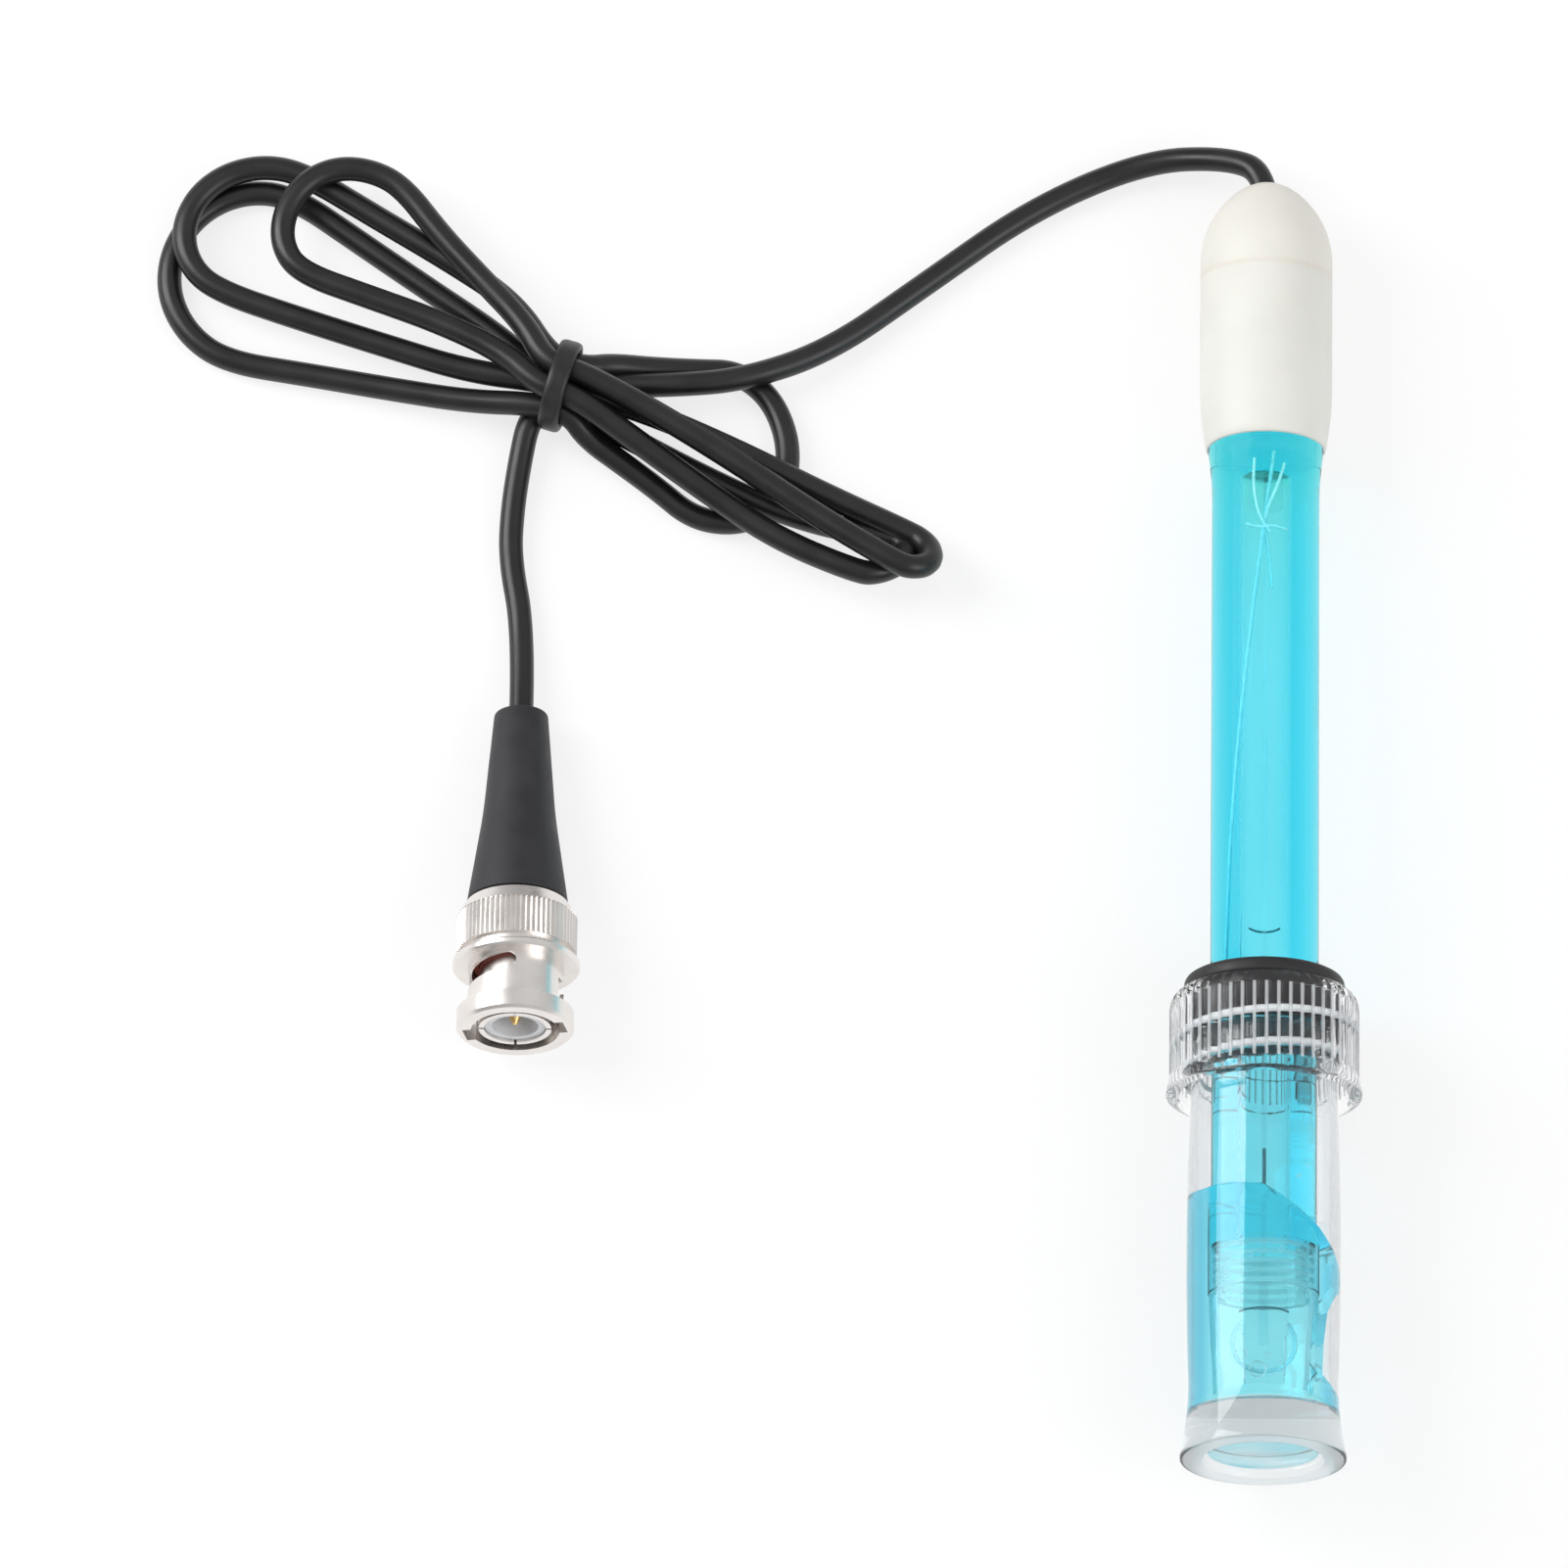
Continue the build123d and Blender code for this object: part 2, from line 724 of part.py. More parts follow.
# Soft ring in front of the flange that the jack's end presses on
with BuildPart() as face_gasket:
    with BuildSketch(plug_frame.offset(flange_start - gasket_thickness)):
        Circle(flange_d / 2)
        Circle(sleeve_r + gasket_gap, mode=Mode.SUBTRACT)
    extrude(amount=gasket_thickness)
face_gasket.part.label = "face_gasket"
export_step(face_gasket.part, "parts/face_gasket.step")

# Crimp ferrule on the cable behind the shank
with BuildPart() as crimp_ferrule:
    with BuildSketch(plug_frame.offset(shank_end)):
        Circle(ferrule_d / 2)
        Circle(cable_r + glue_gap, mode=Mode.SUBTRACT)
    extrude(amount=ferrule_length)
crimp_ferrule.part.label = "crimp_ferrule"
export_step(crimp_ferrule.part, "parts/crimp_ferrule.step")

# Rubber boot over the shank and ferrule, drawn in to the cable
with BuildPart() as plug_boot:
    with BuildSketch(plug_section):
        with BuildLine():
            boot_hole_r = cable_r + cable_gap
            Line((shank_r + glue_gap, boot_front), (boot_front_d / 2, boot_front))
            ThreePointArc(
                (boot_front_d / 2, boot_front),
                (boot_middle_d / 2, boot_front + boot_middle),
                (boot_tail_r, boot_tail),
            )
            Polyline(
                (boot_tail_r, boot_tail),
                (boot_hole_r, boot_tail),
                (boot_hole_r, ferrule_end),
                (ferrule_d / 2 + glue_gap, ferrule_end),
                (ferrule_d / 2 + glue_gap, shank_end),
                (shank_r + glue_gap, shank_end),
                (shank_r + glue_gap, boot_front),
            )
        make_face()
    revolve(axis=plug_axis)
plug_boot.part.label = "plug_boot"
export_step(plug_boot.part, "parts/plug_boot.step")

# Cable from the potting in the head, out of the nose and along the bench into the hank
with BuildPart() as cable_head_lead:
    lead = [
        nose + along * nose_wall,
        nose - along * lead_straight,
        nose + Vector(*lead_turn),
    ]
    lead += [Vector(*point) for point in lead_points]
    lead_radii = cord_radii(lead)
    with BuildLine() as lead_path:
        FilletPolyline(*lead, radius=lead_radii)
    with BuildSketch(Plane(lead_path.line @ 0, z_dir=lead_path.line % 0)):
        Circle(cable_r)
    sweep()
cable_head_lead.part.label = "cable_head_lead"
export_step(cable_head_lead.part, "parts/cable_head_lead.step")

# Cable from the hank along the bench, through the boot and the ferrule to the shank
with BuildPart() as cable_plug_lead:
    tail = [Vector(*point) for point in tail_points]
    tail.append(plug_front + plug_back * (boot_tail + tail_straight))
    tail.append(plug_front + plug_back * shank_end)
    tail_radii = cord_radii(tail)
    with BuildLine() as tail_path:
        FilletPolyline(*tail, radius=tail_radii)
    with BuildSketch(Plane(tail_path.line @ 0, z_dir=tail_path.line % 0)):
        Circle(cable_r)
    sweep()
cable_plug_lead.part.label = "cable_plug_lead"
export_step(cable_plug_lead.part, "parts/cable_plug_lead.step")

# Tied hank: the outer shape of its loops, two flat lobes on a round bundle
bundle_r = bundle_d / 2
tie_r = bundle_r + glue_gap + tie_thickness
bundle_dir = Vector(cos(radians(tie_angle)), sin(radians(tie_angle)), 0)
tie_centre = Vector(*tie_place, tie_r)
lobe_reach = tie_width / 2 + tie_thickness + bundle_r
bundle_frame = Plane(tie_centre, x_dir=(0, 0, 1), z_dir=bundle_dir)
with BuildPart() as cable_hank:
    for side, rounds in ((-1, hank_left_rounds), (1, hank_right_rounds)):
        with BuildSketch():
            with BuildLine():
                root = tie_centre + bundle_dir * (side * lobe_reach)
                CenterArc((root.X, root.Y), bundle_r, 0, 360)
                for x, y, r in rounds:
                    CenterArc((x, y), r, 0, 360)
            make_hull()
        extrude(amount=hank_height)
    with BuildSketch(bundle_frame.offset(-lobe_reach)):
        Circle(bundle_r)
    extrude(amount=2 * lobe_reach)
cable_hank.part.label = "cable_hank"
export_step(cable_hank.part, "parts/cable_hank.step")

# Tie round the bundle
with BuildPart() as cable_tie:
    with BuildSketch(bundle_frame.offset(-tie_width / 2)):
        Circle(tie_r)
        Circle(bundle_r + glue_gap, mode=Mode.SUBTRACT)
    extrude(amount=tie_width)
    rim_edges = cable_tie.edges().filter_by(GeomType.CIRCLE).group_by(SortBy.RADIUS)[-1]
    fillet(rim_edges, tie_thickness / 2)
cable_tie.part.label = "cable_tie"
export_step(cable_tie.part, "parts/cable_tie.step")

cable_section = pi * cable_r**2
for name, path, radii, made in (
    ("head lead", lead_path, lead_radii, cable_head_lead),
    ("plug lead", tail_path, tail_radii, cable_plug_lead),
):
    length = sum(edge.length for edge in path.edges())
    print(name, "radii", [round(r, 1) for r in radii], "length", round(length, 1))
    print(name, "volume share", round(made.part.volume / (cable_section * length), 4))
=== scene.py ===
import json
from math import cos, pi, radians, sin, sqrt

import bmesh
import bpy
from mathutils import Matrix, Vector


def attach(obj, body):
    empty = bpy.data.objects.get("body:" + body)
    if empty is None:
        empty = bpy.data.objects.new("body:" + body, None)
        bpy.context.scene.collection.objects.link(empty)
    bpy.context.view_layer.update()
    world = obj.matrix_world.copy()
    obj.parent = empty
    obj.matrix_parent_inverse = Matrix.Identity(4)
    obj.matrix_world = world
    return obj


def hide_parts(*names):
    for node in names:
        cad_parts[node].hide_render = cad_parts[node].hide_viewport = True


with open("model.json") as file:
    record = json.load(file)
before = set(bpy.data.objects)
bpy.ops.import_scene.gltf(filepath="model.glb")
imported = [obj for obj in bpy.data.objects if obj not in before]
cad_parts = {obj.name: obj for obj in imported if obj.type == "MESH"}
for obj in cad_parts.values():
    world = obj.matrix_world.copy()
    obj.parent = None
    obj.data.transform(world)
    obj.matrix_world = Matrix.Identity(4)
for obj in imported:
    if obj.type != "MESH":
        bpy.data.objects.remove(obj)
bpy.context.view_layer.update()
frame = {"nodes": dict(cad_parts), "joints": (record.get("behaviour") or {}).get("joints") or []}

mm = 0.001
white = (1.0, 1.0, 1.0, 1.0)
scene = bpy.context.scene
scene.view_settings.view_transform = "Standard"
nodes = frame["nodes"]
joints = {joint["name"]: joint for joint in frame["joints"]}


# axes of the turned pieces: local z runs along the station, local x is the world's x
def axisFrame(point, axis):
    across = Vector((1, 0, 0))
    place = Matrix((across, axis.cross(across), axis)).transposed().to_4x4()
    place.translation = point
    return place


jointStations = {"cap_turn": 95.8, "nut_turn": 13.6}  # mm from the nose, and from the plug's front
probeAxis = Vector(joints["cap_turn"]["axis"]).normalized()
nose = Vector(joints["cap_turn"]["pos_m"]) - probeAxis * jointStations["cap_turn"] * mm
probeFrame = axisFrame(nose, probeAxis)
plugAxis = Vector(joints["nut_turn"]["axis"]).normalized()
plugFront = Vector(joints["nut_turn"]["pos_m"]) - plugAxis * jointStations["nut_turn"] * mm
plugFrame = axisFrame(plugFront, plugAxis)

# camera, fitted to the photograph's 1601 pixel square
photoView = {
    "azimuth": -0.664, "elevation": 72.34, "distance": 2000.0, "target": (-53.4, 4.787, 5.0),
    "focalPixels": 18353.5, "imagePixels": 1601, "sensor": 36.0,
}
turn, lift = radians(photoView["azimuth"]), radians(photoView["elevation"])
look = Vector((sin(turn) * cos(lift), cos(turn) * cos(lift), -sin(lift)))
photoCamera = bpy.data.cameras.new("photoCamera")
photoCamera.sensor_width = photoView["sensor"]
photoCamera.lens = photoView["sensor"] * photoView["focalPixels"] / photoView["imagePixels"]
cameraObject = bpy.data.objects.new("photoCamera", photoCamera)
cameraObject.location = Vector(photoView["target"]) * mm - look * photoView["distance"] * mm
cameraObject.rotation_euler = look.to_track_quat("-Z", "Y").to_euler()
scene.collection.objects.link(cameraObject)
scene.camera = cameraObject
print("camera set")


# small helpers for node trees
def addNode(tree, kind, inputs=None, **settings):
    made = tree.nodes.new(kind)
    for key, value in settings.items():
        setattr(made, key, value)
    for key, value in (inputs or {}).items():
        if isinstance(value, bpy.types.NodeSocket):
            tree.links.new(value, made.inputs[key])
        else:
            made.inputs[key].default_value = value
    return made


def newFinish(name):
    made = bpy.data.materials.new(name)
    made.use_nodes = True
    made.node_tree.nodes.clear()
    return made, made.node_tree, addNode(made.node_tree, "ShaderNodeOutputMaterial")


def maths(tree, operation, *values):
    return addNode(tree, "ShaderNodeMath", dict(enumerate(values)), operation=operation).outputs[0]


def mapped(tree, value, fromLow, fromHigh, low=0.0, high=1.0):
    limits = {"From Min": fromLow, "From Max": fromHigh, "To Min": low, "To Max": high}
    return addNode(tree, "ShaderNodeMapRange", {"Value": value, **limits}).outputs["Result"]


def mottle(tree, scale, detail=4.0):
    place = addNode(tree, "ShaderNodeTexCoord").outputs["Object"]
    return addNode(tree, "ShaderNodeTexNoise", {"Vector": place, "Scale": scale, "Detail": detail}).outputs["Fac"]


def twoTone(tree, factor, dark, light, low=0.35, high=0.65):
    ramp = addNode(tree, "ShaderNodeValToRGB", {"Fac": factor})
    for element, place, colour in zip(ramp.color_ramp.elements, (low, high), (dark, light)):
        element.position = place
        element.color = (*colour, 1.0)
    return ramp.outputs["Color"]


reliefDepth = {"grain": 0.02, "ripple": 0.05}  # mm
noiseRange = (0.3, 0.7)  # where most of the noise lies


# opaque finish: mottled colour, roughness that varies, and a fine surface grain
def opaqueFinish(name, dark, light, roughness, mottleScale=300.0, grainScale=4000.0, grain=0.1, stops=None, **shader):
    made, tree, output = newFinish(name)
    patches = mottle(tree, mottleScale)
    colour = twoTone(tree, patches, dark, light)
    if stops:
        colour = multiplied(tree, colour, alongTint(tree, stops))
    grit = mottle(tree, grainScale, 2.0)
    depth = reliefDepth["grain"] * mm
    bump = addNode(tree, "ShaderNodeBump", {"Height": grit, "Strength": grain, "Distance": depth})
    inputs = {
        "Base Color": colour,
        "Roughness": mapped(tree, patches, *noiseRange, *roughness),
        "Normal": bump.outputs["Normal"],
    }
    inputs.update({key.replace("_", " "): value for key, value in shader.items()})
    surface = addNode(tree, "ShaderNodeBsdfPrincipled", inputs)
    tree.links.new(surface.outputs["BSDF"], output.inputs["Surface"])
    return made


stationSpan = 150.0  # mm, the length that the tints are laid along


# station in mm from the nose, and a colour that changes along it: stops of (station, colour)
def stationOf(tree):
    place = addNode(tree, "ShaderNodeTexCoord").outputs["Object"]
    height = addNode(tree, "ShaderNodeSeparateXYZ", {"Vector": place}).outputs["Y"]
    return mapped(tree, height, nose.y, nose.y + probeAxis.y * stationSpan * mm, 0.0, stationSpan)


def alongTint(tree, stops):
    ramp = addNode(tree, "ShaderNodeValToRGB", {"Fac": maths(tree, "DIVIDE", stationOf(tree), stationSpan)})
    elements = ramp.color_ramp.elements
    elements.remove(elements[1])
    elements[0].position, elements[0].color = stops[0][0] / stationSpan, (*stops[0][1], 1.0)
    for station, colour in stops[1:]:
        elements.new(station / stationSpan).color = (*colour, 1.0)
    return ramp.outputs["Color"]


def multiplied(tree, first, second):
    inputs = {"Factor": 1.0, 6: first, 7: second}
    return addNode(tree, "ShaderNodeMix", inputs, data_type="RGBA", blend_type="MULTIPLY").outputs[2]


# clear finish: a refracting skin with a faint moulding ripple, and a dye in its depth
def clearFinish(name, dark, light, ior, roughness, rippleScale, ripple, stops=None, dye=None, density=0.0,
                stippled=None, sides=None, coat=0.0):
    made, tree, output = newFinish(name)
    waves = mottle(tree, rippleScale, 2.0)
    depth = reliefDepth["ripple"] * mm
    bump = addNode(tree, "ShaderNodeBump", {"Height": waves, "Strength": ripple, "Distance": depth})
    colour = twoTone(tree, waves, dark, light)
    if stops:
        colour = multiplied(tree, colour, alongTint(tree, stops))
    if sides:  # deeper colour beside the shaft: from this distance, to that one, colour
        near, far, deep = sides
        crosswise = probeAxis.cross(Vector((0, 0, 1))).normalized()
        place = addNode(tree, "ShaderNodeTexCoord").outputs["Object"]
        place = addNode(tree, "ShaderNodeVectorMath", {0: place, 1: nose}, operation="SUBTRACT").outputs["Vector"]
        across = addNode(tree, "ShaderNodeVectorMath", {0: place, 1: crosswise}, operation="DOT_PRODUCT")
        share = mapped(tree, maths(tree, "ABSOLUTE", across.outputs["Value"]), near * mm, far * mm)
        inputs = {"Factor": share, 6: colour, 7: (*deep, 1.0)}
        colour = addNode(tree, "ShaderNodeMix", inputs, data_type="RGBA").outputs[2]
    if stippled:  # rough end: from this station, to that one, roughness
        start, end, rough = stippled
        roughness = mapped(tree, stationOf(tree), start, end, roughness, rough)
    surface = addNode(tree, "ShaderNodeBsdfPrincipled", {
        "Base Color": colour, "Roughness": roughness, "IOR": ior, "Normal": bump.outputs["Normal"],
        "Transmission Weight": 1.0, "Coat Weight": coat, "Coat Roughness": 0.03,
    })
    tree.links.new(surface.outputs["BSDF"], output.inputs["Surface"])
    if dye:
        inner = addNode(tree, "ShaderNodeVolumeAbsorption", {"Color": (*dye, 1.0), "Density": density})
        tree.links.new(inner.outputs["Volume"], output.inputs["Volume"])
    return made


# the haze colour is real haze, and also the painted edge reflection and painted crest highlights
filmLook = {"mottle": 150.0, "hazeAndGlint": (0.95, 0.98, 1.0, 1.0), "crest": (0.55, -0.95)}


# thin film of glass: see-through, with an edge that is glossy, or, where no gloss is given, pale with the haze colour
# as a painted reflection
# bands are pale rings of haze, a painted highlight on ridge crests: first and last station, pitch, strength
def filmFinish(name, dark, light, gloss, edge, hazeAndGlint, bands=None):
    made, tree, output = newFinish(name)
    tone = twoTone(tree, mottle(tree, filmLook["mottle"]), dark, light)
    clear = addNode(tree, "ShaderNodeBsdfTransparent", {"Color": tone})
    rim = addNode(tree, "ShaderNodeFresnel", {"IOR": edge})
    cloud = addNode(tree, "ShaderNodeBsdfDiffuse", {"Color": filmLook["hazeAndGlint"]})
    # without gloss the edge takes the pale haze: a painted reflection at the glancing edge
    shine = cloud
    if gloss:
        shine = addNode(tree, "ShaderNodeBsdfGlossy", {"Color": white, "Roughness": gloss})
    # painted highlight: pale rings of haze on the ridge crests
    if bands:
        first, last, pitch, strength = bands
        along = stationOf(tree)
        turn = maths(tree, "MULTIPLY", maths(tree, "SUBTRACT", along, first), 2 * pi / pitch)
        crest = mapped(tree, maths(tree, "COSINE", turn), *filmLook["crest"], 0.0, strength)
        inside = maths(tree, "COMPARE", along, (first + last) / 2, (last - first) / 2)
        hazeAndGlint = maths(tree, "MULTIPLY_ADD", crest, inside, hazeAndGlint)
    film = addNode(tree, "ShaderNodeMixShader", {0: hazeAndGlint, 1: clear.outputs["BSDF"], 2: cloud.outputs["BSDF"]})
    skin = addNode(tree, "ShaderNodeMixShader", {
        0: rim.outputs["Fac"], 1: film.outputs["Shader"], 2: shine.outputs["BSDF"]})
    tree.links.new(skin.outputs["Shader"], output.inputs["Surface"])
    return made


tubeTints = [(31.6, (1.0, 0.97, 0.85)), (42.0, (1.0, 0.99, 0.95)), (58.0, (1.0, 1.0, 1.0))]
bottleTints = [(100.0, (1.0, 1.0, 1.0)), (141.5, (1.0, 1.0, 1.0)),
               (145.5, (0.95, 0.98, 0.985)), (149.8, (0.97, 0.985, 0.99))]
headTints = [(0.0, (1.0, 0.975, 0.935)), (10.9, (1.0, 0.985, 0.955)),
             (11.15, (0.975, 0.925, 0.875)), (11.4, (0.975, 0.925, 0.875)),  # warm line at the seam
             (11.7, (1.0, 0.995, 0.975)), (20.0, (0.99, 1.0, 0.98))]
finishes = {
    "headPlastic": opaqueFinish("headPlastic", (0.79, 0.785, 0.745), (0.825, 0.825, 0.79), (0.46, 0.58),
                                120.0, 2500.0, 0.08, stops=headTints, Subsurface_Weight=0.12,
                                Subsurface_Radius=(0.002, 0.0016, 0.0012)),
    "pottingResin": opaqueFinish("pottingResin", (0.05, 0.05, 0.05), (0.08, 0.078, 0.075), (0.3, 0.5)),
    "blueTube": clearFinish("blueTube", (0.97, 0.985, 0.99), (1.0, 1.0, 1.0), 1.12, 0.0, 90.0, 0.12,
                            stops=tubeTints, dye=(0.0, 0.858, 0.947), density=255.0),
    "stopperPlastic": filmFinish("stopperPlastic", (0.95, 0.98, 0.985), (0.98, 0.99, 0.995), None, 1.006, 0.03),
    # the guard's pale rings on the ridge crests are a painted highlight, and its pale edge a painted reflection
    "blueGuard": filmFinish("blueGuard", (0.955, 0.985, 0.99), (0.985, 0.995, 1.0), None, 1.09, 0.02,
                            bands=(125.5, 131.0, 1.1, 0.28)),
    "junctionCeramic": opaqueFinish("junctionCeramic", (0.86, 0.86, 0.84), (0.93, 0.93, 0.92), (0.7, 0.9),
                                    900.0, 6000.0, 0.4),
    "electrodeGlass": filmFinish("electrodeGlass", (0.97, 0.99, 0.99), (0.99, 1.0, 1.0), None, 1.012, 0.03),
    # the bulb's pale edge is a painted reflection
    "bulbGlass": filmFinish("bulbGlass", (0.975, 0.99, 0.995), (0.995, 1.0, 1.0), None, 1.16, 0.04),
    "plugSilicone": filmFinish("plugSilicone", (0.94, 0.975, 0.98), (0.97, 0.99, 0.99), None, 1.015, 0.05),
    "silverWire": opaqueFinish("silverWire", (0.55, 0.56, 0.56), (0.74, 0.74, 0.73), (0.2, 0.35),
                               1500.0, Metallic=1.0),
    "paleWire": filmFinish("paleWire", (0.90, 0.97, 0.98), (0.96, 0.99, 0.99), None, 1.02, 0.12),
    "blueWire": opaqueFinish("blueWire", (0.36, 0.72, 0.79), (0.46, 0.80, 0.86), (0.4, 0.55), 1500.0),
    "whiteWire": opaqueFinish("whiteWire", (0.55, 0.83, 0.87), (0.70, 0.90, 0.93), (0.4, 0.55), 1500.0),
    "darkEdge": opaqueFinish("darkEdge", (0.02, 0.12, 0.15), (0.04, 0.18, 0.21), (0.3, 0.4), 1500.0),
    "sealRubber": opaqueFinish("sealRubber", (0.010, 0.009, 0.011), (0.017, 0.016, 0.018), (0.42, 0.6),
                               400.0, 5000.0, 0.2),
    "clearCap": clearFinish("clearCap", (0.97, 0.975, 0.98), (0.985, 0.985, 0.99), 1.17, 0.05, 260.0, 0.22),
    "clearBottle": clearFinish("clearBottle", (0.955, 0.965, 0.97), (0.975, 0.985, 0.985), 1.24, 0.0, 110.0, 0.10,
                               stops=bottleTints, dye=(0.0, 0.14, 0.20), density=24.0, stippled=(149.0, 149.6, 0.4),
                               sides=(5.6, 7.0, (0.88, 0.903, 0.92)), coat=0.4),
    "cableJacket": opaqueFinish("cableJacket", (0.006, 0.006, 0.007), (0.010, 0.010, 0.011), (0.30, 0.42),
                                220.0, 3500.0, 0.12),
    "tieRubber": opaqueFinish("tieRubber", (0.008, 0.008, 0.009), (0.014, 0.014, 0.015), (0.36, 0.48),
                              500.0, 4500.0, 0.2),
    "bootRubber": opaqueFinish("bootRubber", (0.014, 0.014, 0.017), (0.022, 0.022, 0.026), (0.48, 0.64),
                               350.0, 5200.0, 0.3),
    "nickel": opaqueFinish("nickel", (0.79, 0.75, 0.72), (0.86, 0.82, 0.79), (0.24, 0.35),
                           260.0, 3000.0, 0.05, Metallic=1.0),
    "whiteDielectric": opaqueFinish("whiteDielectric", (0.70, 0.71, 0.73), (0.79, 0.80, 0.82), (0.35, 0.5),
                                    500.0, Subsurface_Weight=0.15, Subsurface_Radius=(0.001, 0.001, 0.001)),
    "goldPin": opaqueFinish("goldPin", (0.72, 0.46, 0.16), (0.86, 0.60, 0.26), (0.18, 0.3), 900.0, Metallic=1.0),
    "gasketSilicone": opaqueFinish("gasketSilicone", (0.30, 0.05, 0.03), (0.38, 0.08, 0.05), (0.4, 0.6)),
    "soakLiquid": clearFinish("soakLiquid", (0.47, 0.915, 0.972), (0.53, 0.935, 0.982), 1.05, 0.0, 60.0, 0.05,
                              dye=(0.0, 0.92, 0.985), density=30.0, sides=(5.2, 6.6, (0.20, 0.74, 0.92))),
    # cyan sheet in the base: painted refraction of the liquid into the recess
    "recessRefractionTint": filmFinish("recessRefractionTint", (0.42, 0.82, 0.90), (0.80, 0.95, 0.98), None, 1.01, 0.04),
    "footFrost": filmFinish("footFrost", (0.93, 0.95, 0.96), (0.97, 0.98, 0.985), None, 1.02, 0.6),
    # pale haze on the thread beads: painted highlight along the threads
    "threadGlintFilm": filmFinish("threadGlintFilm", (0.92, 0.94, 0.95), (0.97, 0.98, 0.98), None, 1.12, 0.75),
    # pale haze on the rib bars: painted highlight along the cap's rib crests
    "ribCrestGlint": filmFinish("ribCrestGlint", (0.95, 0.955, 0.96), (0.98, 0.98, 0.985), 0.12, 1.15, 0.30),
}
print("finishes:", len(finishes))


# meshes of revolution: rows of (station, radius, corner rounding) in mm
def softCorners(rows, steps=4):
    done = []
    for k, row in enumerate(rows):
        corner = Vector(row[:2])
        rounding = row[2] if len(row) > 2 else 0.0
        if not rounding or k in (0, len(rows) - 1):
            done.append(corner)
            continue
        before, after = Vector(rows[k - 1][:2]) - corner, Vector(rows[k + 1][:2]) - corner
        reach = min(rounding, 0.49 * before.length, 0.49 * after.length)
        first, last = corner + before.normalized() * reach, corner + after.normalized() * reach
        for i in range(steps + 1):
            t = i / steps
            done.append(first * (1 - t) ** 2 + corner * 2 * t * (1 - t) + last * t ** 2)
    return done


def turnedMesh(name, rows, segments=96, closed=False):
    points, faces, rings = [], [], []
    for station, radius in rows:
        count = segments if radius > 1e-6 else 1
        rings.append([len(points) + k for k in range(count)])
        for k in range(count):
            angle = 2 * pi * k / segments
            points.append((radius * cos(angle) * mm, radius * sin(angle) * mm, station * mm))
    for a, b in zip(rings, rings[1:] + (rings[:1] if closed else [])):
        for k in range(segments):
            n = (k + 1) % segments
            loop = [a[k % len(a)], b[k % len(b)], b[n % len(b)], a[n % len(a)]]
            loop = list(dict.fromkeys(loop))
            if len(loop) > 2:
                faces.append(loop)
    mesh = bpy.data.meshes.new(name)
    mesh.from_pydata(points, [], faces)
    return cleanMesh(mesh)


def cleanMesh(mesh):
    work = bmesh.new()
    work.from_mesh(mesh)
    bmesh.ops.remove_doubles(work, verts=work.verts, dist=1e-7)
    bmesh.ops.recalc_face_normals(work, faces=work.faces)
    work.to_mesh(mesh)
    work.free()
    return mesh


def addPiece(name, mesh, finish, body, replaced=(), place=None, sharp=40.0):
    if place:
        mesh.transform(place)
    mesh.shade_smooth()
    mesh.set_sharp_from_angle(angle=radians(sharp))
    mesh.materials.clear()
    mesh.materials.append(finishes[finish])
    piece = bpy.data.objects.new(name, mesh)
    scene.collection.objects.link(piece)
    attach(piece, body)
    if replaced:
        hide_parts(*replaced)
    return piece


# every geometry tree ends in plain mesh with its finish
def endTree(tree, shape, finish):
    real = addNode(tree, "GeometryNodeRealizeInstances", {"Geometry": shape})
    coated = addNode(tree, "GeometryNodeSetMaterial", {"Geometry": real.outputs["Geometry"], "Material": finish})
    addNode(tree, "NodeGroupOutput", {"Geometry": coated.outputs["Geometry"]})


